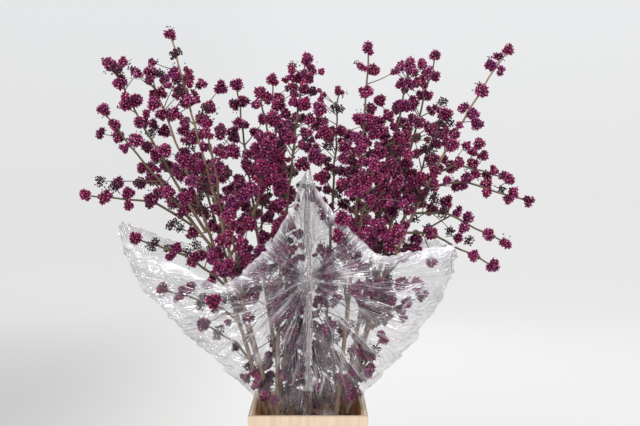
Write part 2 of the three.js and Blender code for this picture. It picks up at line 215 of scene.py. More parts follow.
# Stems: name, foot on the floor of the box, tip as height above the rim, sideways bow, bare share, fork share
STEMS = (
    ("left_leader", (-16, -30), (-278, -60, 762), (0, 0), 0.6, 0.6),
    ("left_outer", (-32, -6), (-332, 15, 690), (16, 0), 0.66, FORK_SHARE),
    ("left_centre", (-52, -56), (-4, -85, 712), (-30, 0), 0.6, FORK_SHARE),
    ("left_back", (-16, 28), (-160, 115, 680), (-6, 12), 0.6, FORK_SHARE),
    ("left_rear", (-14, 0), (-285, 215, 600), (0, 0), 0.62, FORK_SHARE),
    ("middle_rear", (-14, 50), (-84, 165, 690), (0, 0), 0.62, FORK_SHARE),
    ("right_leader", (50, -24), (409, -30, 738), (-73, 0), 0.76, 0),
    ("right_upright", (30, -56), (122, -80, 732), (8, -10), 0.6, 0.5),
    ("right_inner", (28, -4), (212, 10, 712), (0, 0), 0.62, FORK_SHARE),
    ("right_middle", (46, 22), (272, 60, 736), (-12, 0), 0.64, FORK_SHARE),
    ("right_rear", (18, 12), (305, 220, 620), (-16, 0), 0.62, FORK_SHARE),
    ("centre_rear", (16, 42), (66, 180, 670), (0, 0), 0.6, FORK_SHARE),
)

# Boughs: name, stem, height of the fork, tip, sideways bow, bare share, fork share
BOUGHS = (
    ("left_high_bough", "left_outer", 340, (-406, -25, 708), (-6, 0), 0.3, 0.5),
    ("left_low_bough", "left_outer", 318, (-418, -60, 612), (0, 0), 0.3, 0.5),
    ("left_inner_bough", "left_outer", 285, (-92, -130, 640), (45, 0), 0.4, FORK_SHARE),
)

# Side shoots: name, limb, height where it leaves, tip, fork share
SIDE_SHOOTS = (
    ("left_reach", "left_low_bough", 362, (-450, -70, 438), 0),
    ("left_brim", "left_outer", 240, (-352, -50, 352), 0),
    ("left_under_high", "left_outer", 170, (-300, -40, 246), 0),
    ("left_under_low", "left_outer", 84, (-222, 20, 165), 0),
    ("left_heart", "left_leader", 350, (-190, -190, 560), FORK_SHARE),
    ("left_front", "left_leader", 200, (-150, -210, 400), FORK_SHARE),
    ("left_waist", "left_centre", 150, (-95, -150, 330), FORK_SHARE),
    ("left_foot", "left_centre", 12, (-38, -92, 165), FORK_SHARE),
    ("left_core", "middle_rear", 6, (-42, -6, 130), FORK_SHARE),
    ("left_behind", "left_back", 300, (-110, 260, 480), FORK_SHARE),
    ("left_far", "left_rear", 240, (-350, 110, 470), 0.5),
    ("right_reach", "right_leader", 448, (458, -20, 424), 0),
    ("right_reach_high", "right_leader", 480, (424, 70, 476), 0),
    ("right_reach_low", "right_leader", 400, (404, -70, 342), 0),
    ("right_droop", "right_leader", 360, (378, -60, 294), 0),
    ("right_under_high", "right_leader", 150, (236, -50, 235), FORK_SHARE),
    ("right_under_low", "right_leader", 24, (150, -80, 150), FORK_SHARE),
    ("right_heart", "right_upright", 290, (128, -215, 500), FORK_SHARE),
    ("right_front", "right_upright", 200, (66, -200, 400), FORK_SHARE),
    ("right_brim", "right_inner", 200, (175, -185, 370), FORK_SHARE),
    ("right_foot", "right_upright", 8, (46, -80, 175), FORK_SHARE),
    ("right_core", "centre_rear", 6, (36, 8, 150), FORK_SHARE),
    ("right_far", "right_rear", 240, (330, 130, 400), FORK_SHARE),
)

# Film sleeves, as in the part's source
FILM_FOLDS = 7
FILM_FOLD_DEPTH = 0.025
FILM_MOUTH = 104
FILM_FOOT = 98
FILM_DEPTH = 205
FILM_DEPTH_HEIGHT = 330
FILM_MIDDLE_GAP = 2
FILM_AXIS_SHARE = 0.45
FILM_CORNER = 2.6
FILM_SLANT = 0.72
FLARE_POWER = 1.3
SLEEVES = (
    SimpleNamespace(name="left_film_sleeve", side=-1, spread=395, height=385, rim=(385, 200, 492, 300)),
    SimpleNamespace(name="right_film_sleeve", side=1, spread=305, height=320, rim=(330, 296, 492, 340)),
)

# The film's lip in the looks, round from the outside by the front: its height above the rim of the box
LIPS = (
    (385, 361, 322, 266, 350, 480, 492, 442, 350, 300, 322, 363),
    (330, 342, 342, 326, 425, 490, 492, 453, 379, 340, 337, 333),
)
MIDDLE_CORNER = 7
GATHER_LOW = 170
GATHER_RISE = 110

# Camera, from the fit to the photograph
CAMERA_X = 24
CAMERA_BACK = 2092
CAMERA_ABOVE_RIM = 484.6
CAMERA_PITCH = 2.3
CAMERA_LENS = 56.25
SENSOR_WIDTH = 36


# Arithmetic


def mix(a, b, share):
    return a + (b - a) * share


def smooth(share):
    share = np.clip(share, 0.0, 1.0)
    return share * share * (3 - 2 * share)


def bell(away):
    return np.exp(-(away**2))


def unit(vector):
    return vector / np.linalg.norm(vector)


def units(vectors):
    """Each of these vectors at length 1."""
    return vectors / np.maximum(np.linalg.norm(vectors, axis=1), 1e-6)[:, None]


def rows_of(*columns):
    """Points or triangles from their three columns, each an array or one number for all."""
    return np.stack(np.broadcast_arrays(*columns), axis=1)


def grid_of(rows, columns):
    """The row's value and the column's value at every place in a grid, row by row."""
    row, column = np.meshgrid(rows, columns, indexing="ij")
    return row.ravel(), column.ravel()


def random_from(seed):
    """Random numbers from 0 to 1, the same as the source's."""
    state = (seed * SEED_STEP + SEED_START) % RANDOM_SIZE
    while True:
        state = state * RANDOM_STEP % RANDOM_SIZE
        yield state / RANDOM_SIZE


def turned(vector, axis, angle):
    """The vector turned about a unit axis square to it."""
    return vector * math.cos(angle) + np.cross(axis, vector) * math.sin(angle)


def crossways(heading, turn):
    """A direction square to a heading, at a turn about it."""
    base = np.array((1.0, 0, 0)) if abs(heading[2]) > 0.9 else np.array((0, 0, 1.0))
    return turned(unit(np.cross(base, heading)), heading, turn)


# Film sleeves as a shape


def flare(share):
    return np.sin(math.pi / 2 * np.clip(share, 0.0, 1.0)) ** FLARE_POWER


def sleeve_section(sleeve, height):
    """Half-widths of a sleeve and the place of its axis, at a height above the rim of the box."""
    low = mix(FILM_MOUTH, FILM_FOOT, -height / (RIM - BOARD))
    outer = np.where(height <= 0, low, mix(FILM_MOUTH, sleeve.spread, flare(height / sleeve.height)))
    deep = mix(FILM_MOUTH - 2, FILM_DEPTH, flare(height / FILM_DEPTH_HEIGHT))
    depth = np.where(height <= 0, low - 2, deep)
    return outer, depth, sleeve.side * outer * FILM_AXIS_SHARE


def sleeve_radius(sleeve, angle, height, dressed=False):
    """The film's distance from its axis. The angle is 0 outwards and a quarter turn at the front.

    The dressed film is fuller where the sleeves meet, below the knot.
    """
    outer, depth, axis = sleeve_section(sleeve, height)
    half_width = np.where(np.cos(angle) < 0, np.abs(axis) - FILM_MIDDLE_GAP, outer - np.abs(axis))
    square = smooth(-np.cos(angle) * 4) * (1 - smooth((height - GATHER_LOW) / GATHER_RISE)) if dressed else 0
    corner = mix(FILM_CORNER, MIDDLE_CORNER, square)
    across = np.abs(np.cos(angle) / half_width) ** corner
    through = np.abs(np.sin(angle) / depth) ** corner
    folds = np.sin(FILM_FOLDS * angle + height / 60) * flare(height / 200)
    free = (1 + np.cos(angle)) / 2
    return (across + through) ** (-1 / corner) * (1 - FILM_FOLD_DEPTH * free * (1 + folds))


def rim_height(sleeve, angle, dressed=False):
    """How high a sleeve's lip stands above the rim of the box, at an angle about its axis."""
    heights = np.array(LIPS[int(sleeve.side > 0)] if dressed else sleeve.rim, float)
    place_on = np.mod(angle / (2 * math.pi / len(heights)), len(heights))
    start = np.minimum(np.floor(place_on).astype(int), len(heights) - 1)
    share = place_on - start
    return mix(heights[start], heights[(start + 1) % len(heights)], share if dressed else smooth(share))


def film_distance(sleeve, point, dressed=False):
    """How far a point is from a sleeve, roughly."""
    height = point[2] - RIM
    axis = sleeve_section(sleeve, height)[2]
    out = (point[0] - axis) * sleeve.side
    angle = math.atan2(-point[1], out)
    level = min(height, float(rim_height(sleeve, angle, dressed)))
    sideways = math.hypot(out, point[1]) - sleeve_radius(sleeve, angle, level, dressed)
    return math.hypot(sideways * FILM_SLANT, height - level)


# Growth, by the rule of the part's source


class Line:
    """A limb's centre line from a share of its length to its end, with a sideways bow."""

    def __init__(self, start, end, bow, foot_radius, first=0.0):
        self.start, self.end, self.bow = start, end, bow
        self.foot_radius, self.first = foot_radius, first
        self.length = np.linalg.norm(end - start) * (1 - first)

    def at(self, t):
        t = mix(self.first, 1, t)
        return self.start + (self.end - self.start) * t + self.bow * (4 * t * (1 - t))

    def heading(self, t):
        t = mix(self.first, 1, t)
        return unit(self.end - self.start + self.bow * (4 - 8 * t))

    def share_at(self, level):
        """The share of the whole limb at which it reaches a level, as if it were straight."""
        return (level - self.start[2]) / (self.end[2] - self.start[2])

    def radius(self, t):
        return mix(self.foot_radius, STEM_TIP_RADIUS, mix(self.first, 1, t))


class StraightRuns:
    """The same line as straight runs between stops."""

    def __init__(self, line, stops):
        self.line, self.stops, self.heading = line, stops, line.heading

    def at(self, t):
        after = max(1, next(i for i, stop in enumerate(self.stops) if stop >= t))
        before, stop = self.stops[after - 1], self.stops[after]
        return mix(self.line.at(before), self.line.at(stop), (t - before) / (stop - before))


class Room:
    """Space that is taken, as round beads, each with its owner."""

    def __init__(self):
        self.centres = np.zeros((0, 3))
        self.radii, self.owners, self.twigs = np.zeros(0), np.zeros(0, int), np.zeros(0, bool)

    def claim(self, owner, beads):
        """Takes the room of some beads: the centre and radius of each, and whether it is part of a twig."""
        if not beads:
            return
        self.centres = np.vstack([self.centres, [bead[0] for bead in beads]])
        self.radii = np.append(self.radii, [bead[1] for bead in beads])
        self.owners = np.append(self.owners, [owner] * len(beads))
        self.twigs = np.append(self.twigs, [bead[2] for bead in beads])

    def is_free(self, owner, beads, room=CLUSTER_ROOM, lowest=RIM, dressed=0):
        """Twigs of one owner may meet each other, and its clusters may meet its twigs.

        dressed is the share of its room that growth keeps off the dressed film, or 0 for the source's film.
        """
        others = ~((self.owners == owner) & self.twigs)
        centres, radii = self.centres[others], self.radii[others]
        for centre, radius, _ in beads:
            if centre[2] - radius <= lowest:
                return False
            spare = (radius + FILM_ROOM) * (dressed or 1)
            if any(film_distance(sleeve, centre, dressed > 0) <= spare for sleeve in SLEEVES):
                return False
            if (np.linalg.norm(centres - centre, axis=1) <= radii + radius + room).any():
                return False
        return True


def beads_along(start, end, radius):
    count = max(1, math.ceil(np.linalg.norm(end - start) / BEAD_STEP))
    return [(mix(start, end, i / count), radius, True) for i in range(count + 1)]


def limb_beads(line, t0, t1):
    count = max(1, math.ceil(line.length * (t1 - t0) / BEAD_STEP))
    shares = [mix(t0, t1, i / count) for i in range(count + 1)]
    return [(line.at(t), line.radius(t) + TWIG_ROOM, True) for t in shares]


def above_rim(tip):
    return np.array((tip[0], tip[1], RIM + tip[2]), float)


def limb_surface(name):
    """The faces of a limb's CAD node, in millimetres."""
    mesh = frame["nodes"][name].data
    corners = [vertex.co / MM for vertex in mesh.vertices]
    return BVHTree.FromPolygons(corners, [tuple(face.vertices) for face in mesh.polygons])


def foot_edge(centre, heading, radius, sides):
    """Points all round the edge of the flat foot of what grows from a limb."""
    base = np.array((1.0, 0, 0)) if abs(heading[2]) > 0.8 else np.array((0, 0, 1.0))
    right = unit(np.cross(base, heading))
    up = np.cross(heading, right)
    turns = [2 * math.pi * i / sides for i in range(sides + 1)]
    corners = [centre + radius * (math.sin(a) * right - math.cos(a) * up) for a in turns]
    shares = [i / FOOT_SAMPLES for i in range(FOOT_SAMPLES + 1)]
    return [mix(a, b, share) for a, b in zip(corners, corners[1:]) for share in shares]


def side_line(parent, height, tip, radius, sides, bow):
    """The line of what grows from a limb's side. Its foot moves in along its heading until just clear."""
    line = parent.line
    t = line.share_at(RIM + height)
    root = line.at(t)
    heading = unit(tip - root + bow * 4)
    lean = heading @ line.heading(t)
    start = root + heading * (line.radius(t) + radius) / math.sqrt(1 - lean * lean)
    surface = limb_surface(parent.name)
    for _ in range(FOOT_STEPS):
        edge = foot_edge(start, heading, radius, sides)
        gap = min(surface.find_nearest(Vector(point))[3] for point in edge)
        start = start + heading * (CLEAR - gap)
    return Line(start, tip, bow, radius)


def plan_limbs():
    """The stems and boughs, and every shoot in the source's order."""
    limbs, shoots = {}, []

    def add_limb(name, line, bare, forks, parent=None):
        limbs[name] = SimpleNamespace(name=name, line=line, bare=bare, parent=parent)
        first = bare + CLEAR / line.length
        lead = Line(line.start, line.end, line.bow, line.foot_radius, first)
        shoots.append(SimpleNamespace(name=f"{name}_shoot", line=lead, forks=forks, parent=None))

    for name, foot, tip, bow, bare, forks in STEMS:
        start = np.array((foot[0], foot[1], BOARD + CLEAR), float)
        line = Line(start, above_rim(tip), np.array((*bow, 0), float), STEM_FOOT_RADIUS)
        add_limb(f"{name}_stem", line, bare, forks)
    for name, on, height, tip, bow, bare, forks in BOUGHS:
        parent = limbs[f"{on}_stem"]
        sideways = np.array((*bow, 0), float)
        line = side_line(parent, height, above_rim(tip), BOUGH_FOOT_RADIUS, STEM_SIDES, sideways)
        add_limb(name, line, bare, forks, parent)
    for name, on, height, tip, forks in SIDE_SHOOTS:
        parent = limbs.get(f"{on}_stem") or limbs[on]
        bow = np.array((0, 0, SHOOT_BOW * math.hypot(tip[0], tip[1])))
        line = side_line(parent, height, above_rim(tip), SHOOT_FOOT_RADIUS, TWIG_SIDES, bow)
        shoots.append(SimpleNamespace(name=f"{name}_shoot", line=line, forks=forks, parent=parent))
    return limbs, shoots


def cluster(centre, heading, kind, radius=BEAD_RADIUS, side=None):
    side = crossways(heading, 0) if side is None else side
    return SimpleNamespace(centre=centre, heading=heading, side=side, kind=kind, radius=radius)


def side_twig(root, heading, length, fine):
    return SimpleNamespace(root=root, heading=heading, length=length, fine=fine)


def grow_pair(room, shoot, centre, heading, side):
    offset = PAIR_REACH - PAIR_RADIUS
    beads = [(centre + side * hand * offset, PAIR_RADIUS, False) for hand in (-1, 0, 1)]
    if room.is_free(shoot.owner, beads):
        room.claim(shoot.owner, beads)
        shoot.clusters.append(cluster(centre, heading, "pair", side=side))


def grow_lateral(room, shoot, t, side, reach):
    """A side twig with clusters in a row, as far as there is room."""
    heading = unit(shoot.runs.heading(t) * math.cos(LATERAL_ANGLE) + side * math.sin(LATERAL_ANGLE))
    root = shoot.runs.at(t)
    count = max(1, math.floor(reach / LATERAL_PITCH + 0.5))
    grown, beads = 0, []
    for i in range(1, count + 1):
        centre = root + heading * (reach * i / count)
        row = beads_along(root + heading * (reach * grown), centre, LATERAL_RADIUS + TWIG_ROOM)[1:]
        row.append((centre, BEAD_RADIUS, False))
        if not room.is_free(shoot.owner, row):
            break
        beads += row
        shoot.clusters.append(cluster(centre, heading, "ball"))
        grown = i / count
    room.claim(shoot.owner, beads)
    if grown > 0:
        shoot.laterals.append(side_twig(root, heading, reach * grown, False))


def grow_shoot(room, shoot):
    """A shoot's nodes from its tip down: a pair of clusters at each, or a fork with two side twigs."""
    length = shoot.line.length
    random = random_from(shoot.owner + 1)
    phase = next(random) * math.pi
    nodes = []
    below_tip = END_RADIUS + NODE_PITCH / 2
    while below_tip < length - FIRST_NODE:
        t = 1 - below_tip / length
        forks = len(nodes) > 1 and t < shoot.forks
        turn = phase + len(nodes) * math.pi / 2
        nodes.append(SimpleNamespace(t=t, forks=forks, turn=turn, vigour=next(random)))
        below_tip += NODE_PITCH
    pairs = [node.t for node in nodes if not node.forks]
    upright = pairs[min(TIP_PAIRS, len(pairs)) - 1] if pairs else 0
    line = StraightRuns(shoot.line, [0, *sorted(t for t in pairs if t <= upright), 1])
    shoot.runs, shoot.nodes, shoot.clusters, shoot.laterals = line, nodes, [], []
    shoot.clusters.append(cluster(line.at(1), unit(line.at(1) - line.at(upright)), "tip"))
    for node in nodes:
        heading = line.heading(node.t)
        side = crossways(heading, node.turn)
        if not node.forks:
            grow_pair(room, shoot, line.at(node.t), heading, side)
            continue
        for hand in (1, -1):
            vigour = (1 - node.t) * mix(VIGOUR_LEAST, 1, node.vigour)
            reach = mix(LATERAL_SHORTEST, LATERAL_LONGEST, vigour)
            grow_lateral(room, shoot, node.t, side * hand, reach)


def within(places, centre):
    return any(math.hypot(centre[0] - x, centre[2] - RIM - z) < radius for x, z, radius in places)


def beyond_film(centre):
    """Whether a point is outside the film and lower than its rim there."""
    sleeve = SLEEVES[int(centre[0] > 0)]
    height = centre[2] - RIM
    out = (centre[0] - sleeve_section(sleeve, height)[2]) * sleeve.side
    angle = math.atan2(-centre[1], out)
    low = height < rim_height(sleeve, angle, True)
    return bool(low and math.hypot(out, centre[1]) > sleeve_radius(sleeve, angle, height, True))


def in_reach(centre, radius):
    """Whether a cluster stays inside the room of the whole CAD model."""
    low, high = (np.array(corner) / MM for corner in CAD_BOX)
    return (centre - radius > low).all() and (centre + radius < high).all()


def grow_small(room, carrier, one, film_share):
    """Adds a small cluster where there is room for it, and says whether there was."""
    beads = [(one.centre, one.radius, False)]
    free = room.is_free(carrier.owner, beads, -FINE_PRESS, RIM - FINE_LOWEST, film_share)
    if free:
        room.claim(carrier.owner, beads)
        carrier.clusters.append(one)
    return free


def grow_fine_twig(room, carrier, root, heading, reach, random, only_full):
    """A fine twig with small clusters in a row, as far as there is room."""
    steps = max(1, round(reach / FINE_PITCH))
    grown = 0
    for step in range(1, steps + 1):
        centre = root + heading * reach * step / steps
        full = within(FULL_PLACES, centre)
        low, high = (FULL_SIZES if only_full else FINE_SIZES)[0], (FULL_SIZES if full else FINE_SIZES)[1]
        radius = FINE_RADIUS * random.uniform(low, high)
        share = 1 if full else OPEN_SHARE if within(OPEN_PLACES, centre) else FINE_SHARE
        if random.random() > share or (only_full and not full):
            continue
        if not in_reach(centre, radius) or beyond_film(centre):
            break
        if not grow_small(room, carrier, cluster(centre, heading, "ball", radius), FINE_FILM_SHARE):
            break
        grown = reach * step / steps
    if grown > FINE_RADIUS:
        carrier.laterals.append(side_twig(root, heading, grown, True))


def grow_finer(room, carrier, random, only_full=False):
    """Fine twigs in pairs along a limb or shoot. only_full keeps them to the full places."""
    line, (first, last) = carrier.line, carrier.stretch
    count = int(line.length * (last - first) / FINE_STEP)
    phase = random.uniform(0, math.pi)
    for i in range(count):
        t = mix(first, last, (i + random.uniform(0.1, 0.9)) / count)
        root, along = line.at(t), line.heading(t)
        for hand in (0, math.pi):
            side = crossways(along, phase + i * FINE_TURN + hand)
            angle = random.uniform(*FINE_ANGLE)
            heading = along * math.cos(angle) + side * math.sin(angle)
            reach = mix(FINE_SHORTEST, FINE_LONGEST, random.random() * (1 if only_full else 1 - t))
            grow_fine_twig(room, carrier, root, heading, reach, random, only_full)


def nearest_root(limbs, centre, level):
    """The nearest limb on a cluster's side, where its twig leaves that limb, and how long the twig is."""
    found = []
    for limb in limbs:
        if (limb.line.end[0] < 0) == (centre[0] < 0):
            t = min(max(limb.line.share_at(level), LIMB_FIRST), limb.bare)
            root = limb.line.at(t)
            found.append((limb, root, np.linalg.norm(centre - root)))
    return min(found, key=lambda one: one[2])


def fill_middle(room, limbs, random):
    """Small clusters close to where the sleeves meet, each on a fine twig from the nearest limb."""
    for level in np.arange(*MIDDLE_LEVELS):
        front = MIDDLE_FRONT if level < MIDDLE_HIGH else MIDDLE_HIGH_FRONT
        for side, reach in ((-1, front), (1, front), (-1, MIDDLE_BACK), (1, MIDDLE_BACK)):
            radius = random.uniform(*MIDDLE_RADII)
            y = random.uniform(*reach)
            z = RIM + level + random.uniform(-MIDDLE_LEVEL_DRIFT, MIDDLE_LEVEL_DRIFT)
            centre = np.array((side * (radius + MIDDLE_OFF), y, z))
            if beyond_film(centre):
                continue
            limb, root, apart = nearest_root(limbs, centre, z - MIDDLE_DROP * radius)
            heading = (centre - root) / apart
            one = cluster(centre, heading, "small", radius)
            if apart < FINE_LONGEST and grow_small(room, limb, one, MIDDLE_FILM_SHARE):
                limb.laterals.append(side_twig(root, heading, apart, True))


@functools.lru_cache(maxsize=1)
def plant():
    """The limbs and shoots of the whole plant, grown once."""
    named_limbs, shoots = plan_limbs()
    limbs = list(named_limbs.values())
    room = Room()
    for i, limb in enumerate(limbs):
        limb.owner, limb.clusters, limb.laterals = -1 - i, [], []
        limb.stretch = (max(LIMB_FIRST, limb.line.share_at(RIM - FINE_LOWEST)), limb.bare)
        room.claim(limb.owner, limb_beads(limb.line, 0, limb.bare))
    for i, shoot in enumerate(shoots):
        shoot.owner, shoot.stretch = i, SHOOT_STRETCH
        room.claim(i, limb_beads(shoot.line, 0, 1))
        room.claim(i, [(shoot.line.at(1), END_RADIUS, False)])
    for shoot in shoots:
        grow_shoot(room, shoot)
    random = np.random.default_rng(GROWTH_SEED)
    for carrier in (*shoots, *limbs):
        grow_finer(room, carrier, random)
    fill_middle(room, limbs, random)
    for carrier in (*limbs, *shoots):
        for _ in range(FULL_PASSES):
            grow_finer(room, carrier, random, True)
    return limbs, shoots


# Meshes from arrays


class Gathered:
    """Points and triangles of many small parts, joined into one mesh, each part with its material."""

    def __init__(self):
        self.points, self.triangles, self.slots, self.count = [], [], [], 0

    def add(self, points, triangles, slot=0):
        self.points.append(points)
        self.triangles.append(triangles + self.count)
        self.slots.append(np.broadcast_to(slot, len(triangles)))
        self.count += len(points)

    def add_copies(self, points, faces, slots=0):
        """Adds like parts: the corners of each, the triangles of one, and a material for each or for all."""
        number, corners = points.shape[:2]
        triangles = np.arange(number)[:, None, None] * corners + faces
        slots = np.repeat(np.broadcast_to(slots, number), len(faces))
        self.add(points.reshape(-1, 3), triangles.reshape(-1, 3), slots)

    def size(self):
        return sum(len(triangles) for triangles in self.triangles)

    def build(self, name, materials, stands_for, slot):
        points = np.concatenate(self.points).astype(np.float32) * MM
        mesh = mesh_from(name, points, np.concatenate(self.triangles))
        mesh.polygons.foreach_set("material_index", np.concatenate(self.slots).astype(np.int32))
        place(name, mesh, materials, stands_for)


def mesh_from(name, points, triangles):
    mesh = bpy.data.meshes.new(name)
    mesh.vertices.add(len(points))
    mesh.vertices.foreach_set("co", np.asarray(points, np.float32).ravel())
    mesh.loops.add(triangles.size)
    mesh.loops.foreach_set("vertex_index", triangles.astype(np.int32).ravel())
    mesh.polygons.add(len(triangles))
    mesh.polygons.foreach_set("loop_start", np.arange(0, triangles.size, 3, dtype=np.int32))
    mesh.polygons.foreach_set("use_smooth", np.ones(len(triangles), bool))
    mesh.update(calc_edges=True)
    return mesh


def place(name, mesh, materials, stands_for):
    """Puts a mesh in the scene as a piece that stands for CAD nodes."""
    piece = bpy.data.objects.new(name, mesh)
    bpy.context.scene.collection.objects.link(piece)
    for material in materials:
        mesh.materials.append(material)
    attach(piece, "root")
    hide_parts(*stands_for)


def sheet_triangles(rows, columns, closed=True):
    """Triangles of a sheet of points, which may close on itself across its columns."""
    row, column = grid_of(np.arange(rows - 1), np.arange(columns if closed else columns - 1))
    after = (column + 1) % columns
    a, b = row * columns + column, row * columns + after
    c, d = (row + 1) * columns + after, (row + 1) * columns + column
    return np.concatenate([rows_of(a, b, c), rows_of(a, c, d)])


def tube(path, radii, sides):
    """A closed tube along a path. radii has one value for each ring, or one for each corner of each ring."""
    path = np.asarray(path, float)
    radii = np.asarray(radii, float)
    if radii.ndim == 1:
        radii = np.repeat(radii[:, None], sides, axis=1)
    headings = np.gradient(path, axis=0)
    headings /= np.linalg.norm(headings, axis=1)[:, None]
    right = crossways(headings[0], 0)
    rings = []
    turns = 2 * math.pi * np.arange(sides) / sides
    for point, heading, radius in zip(path, headings, radii):
        right = unit(right - heading * (right @ heading))
        up = np.cross(heading, right)
        rings.append(point + radius[:, None] * (np.outer(np.cos(turns), right) + np.outer(np.sin(turns), up)))
    points = np.vstack([*rings, path[:1], path[-1:]])
    corner = np.arange(sides)
    after = (corner + 1) % sides
    last = (len(path) - 1) * sides
    caps = [rows_of(len(points) - 2, after, corner), rows_of(len(points) - 1, last + corner, last + after)]
    return points, np.concatenate([sheet_triangles(len(path), sides), *caps])


def square_to(ways):
    """Two directions square to each of these and to each other."""
    base = np.where(np.abs(ways[:, 2:3]) > 0.9, [[1.0, 0, 0]], [[0, 0, 1.0]])
    right = units(np.cross(base, ways))
    return right, np.cross(ways, right)


def spikes(starts, ends, radius):
    """Thin stalks from a small base to a point: the corners of each, and the triangles of one."""
    right, up = square_to(units(ends - starts))
    third = 2 * math.pi / 3
    corners = [starts + radius * (math.cos(third * i) * right + math.sin(third * i) * up) for i in range(3)]
    return np.stack([*corners, ends], axis=1), np.array([(0, 1, 3), (1, 2, 3), (2, 0, 3), (2, 1, 0)])


@functools.lru_cache(maxsize=1)
def small_ball():
    """Corners and faces of a ball of radius 1."""
    shape = bmesh.new()
    bmesh.ops.create_icosphere(shape, subdivisions=1, radius=1.0)
    corners = np.array([vertex.co for vertex in shape.verts])
    faces = np.array([[vertex.index for vertex in face.verts] for face in shape.faces])
    shape.free()
    return corners, faces


def ball_directions(count):
    """Directions spread evenly over a ball, on a golden spiral."""
    step = np.arange(count) + 0.5
    height = 1 - 2 * step / count
    turn = step * math.pi * (3 - math.sqrt(5))
    level = np.sqrt(1 - height * height)
    return np.stack([level * np.cos(turn), level * np.sin(turn), height], axis=1)


def random_turn(random):
    """A random rotation, as a matrix."""
    axes = np.linalg.qr(random.normal(size=(3, 3)))[0]
    return axes * np.sign(np.linalg.det(axes))


# Berry clusters

BERRY_KINDS = ("magenta", "crimson", "violet", "deep", "dried", "inner", "pale")
KIND_SHARES = (0.5, 0.2, 0.14, 0.16)
# The inner kind is painted shade: dark balls inside the clusters that show between the berries. The pale kind
# is painted highlight: berries made paler at random, with some real variation in tone.
DRIED, PAINTED_SHADE_CORE, PAINTED_GLINT = 4, 5, 6
OTHER_KIND_SHARE = 0.3
PAINTED_GLINT_SHARE = 0.15

# Triangles in a piece after which the next berries go into a new one
FULL_PIECE = 125400

CLUSTER_SIZES = (0.84, 1.08)
CLUSTER_DRIFT = 2.0
PAIR_DRIFT = 4
PAIR_SPREAD = 2
FULL_RADIUS = 17.6

# Full clusters: berries over lumps, each with a dark ball of painted shade inside
LUMPS = (3, 6)
LUMP_SHARE = (0.5, 0.68)
CORE_SHARE = 0.94
CORE_SINK = 0.6
BERRY_PITCH = 62
BERRY_DRIFT = 0.08
BERRY_SEATS = (0.92, 1.1)
BERRY_SIZES = (0.84, 1.1)
HIDDEN_DEPTH = 1.3
DOME_RINGS = ((58, 0), (118, 45))

# Small dark berries that stand out of a full cluster
FRINGE_SHARE = 0.4
FRINGE_NUMBER = (3, 8)
FRINGE_DRIFT = 0.45
FRINGE_REACH = (1.0, 1.3)
FRINGE_SIZES = (0.55, 0.8)
STALK_RADIUS = 0.55

# Sparse clusters of dried berries, and the share of clusters that are sparse
SPARSE_SHARE = 0.06
OPEN_SPARSE = 0.5
LOW_SPARSE = 0.5
LOW_HEIGHT = 190
SPARSE_SIZE = 0.85
DRIED_LOBES = 8
DRIED_NUMBER = (3, 7)
DRIED_SIZES = (0.75, 1.05)
LOBE_REACH = 0.6
LOBE_RADIUS = 0.3
LOBE_STALK_RADIUS = 0.9
LOBE_ROOT = 0.3


@functools.lru_cache(maxsize=1)
def berry_dome():
    """Corners and faces of a berry of radius 1 that stands along z, open where it sits in its cluster."""
    corners = [(0.0, 0.0, 1.0)]
    for slope, shift in DOME_RINGS:
        level, height = math.sin(math.radians(slope)), math.cos(math.radians(slope))
        turns = [i * math.pi / 2 + math.radians(shift) for i in range(4)]
        corners += [(level * math.cos(turn), level * math.sin(turn), height) for turn in turns]
    faces = []
    for i in range(4):
        after = (i + 1) % 4
        faces += [(0, 1 + i, 1 + after), (1 + i, 5 + i, 1 + after), (1 + after, 5 + i, 5 + after)]
    return np.array(corners), np.array(faces)


def standing(ways, random):
    """Two directions square to each of these and to each other, at a random turn."""
    right, up = square_to(ways)
    turn = random.uniform(0, 2 * math.pi, (len(ways), 1))
    return right * np.cos(turn) + up * np.sin(turn), up * np.cos(turn) - right * np.sin(turn)


def cluster_balls(one, random):
    """Centre and radius of the one or two balls that make up a cluster."""
    sizes = random.uniform(*CLUSTER_SIZES, 2)
    if one.kind == "small":
        return [(one.centre, one.radius)]
    if one.kind != "pair":
        centre = one.centre + random.normal(0, CLUSTER_DRIFT, 3)
        return [(centre, one.radius * FULL_RADIUS / BEAD_RADIUS * sizes[0])]
    drift = one.heading * random.uniform(-PAIR_DRIFT, PAIR_DRIFT, 2)[:, None]
    offset = one.side * (PAIR_REACH - PAIR_RADIUS + PAIR_SPREAD)
    centres = (one.centre - offset + drift[0], one.centre + offset + drift[1])
    return list(zip(centres, PAIR_RADIUS * sizes))


def dress_full_ball(centre, radius, tint, random, berries, size):
    """Berries packed over a few lumps that grow together, each with a dark ball of painted shade that shows
    between its berries.
    """
    number = int(random.integers(*LUMPS))
    radii = radius * random.uniform(*LUMP_SHARE, number)
    middles = centre + ball_directions(number) @ random_turn(random) * (radius - radii)[:, None]
    shade_core, core_faces = small_ball()
    for i, (middle, lump) in enumerate(zip(middles, radii)):
        # The dark ball of painted shade inside the lump
        shaded = shade_core @ random_turn(random) * (lump * CORE_SHARE - size * CORE_SINK)
        berries.add(middle + shaded, core_faces, PAINTED_SHADE_CORE)
        count = round(4 * math.pi * lump * lump / BERRY_PITCH)
        ways = ball_directions(count) @ random_turn(random) + random.normal(0, BERRY_DRIFT, (count, 3))
        ways = units(ways)
        seats = middle + ways * ((lump - size) * random.uniform(*BERRY_SEATS, count))[:, None]
        apart = np.linalg.norm(seats[:, None] - middles[None], axis=2) - (radii - size * HIDDEN_DEPTH)
        apart[:, i] = 1
        seen = apart.min(axis=1) > 0
        stand_berries(ways[seen], seats[seen], tint, random, berries, size)


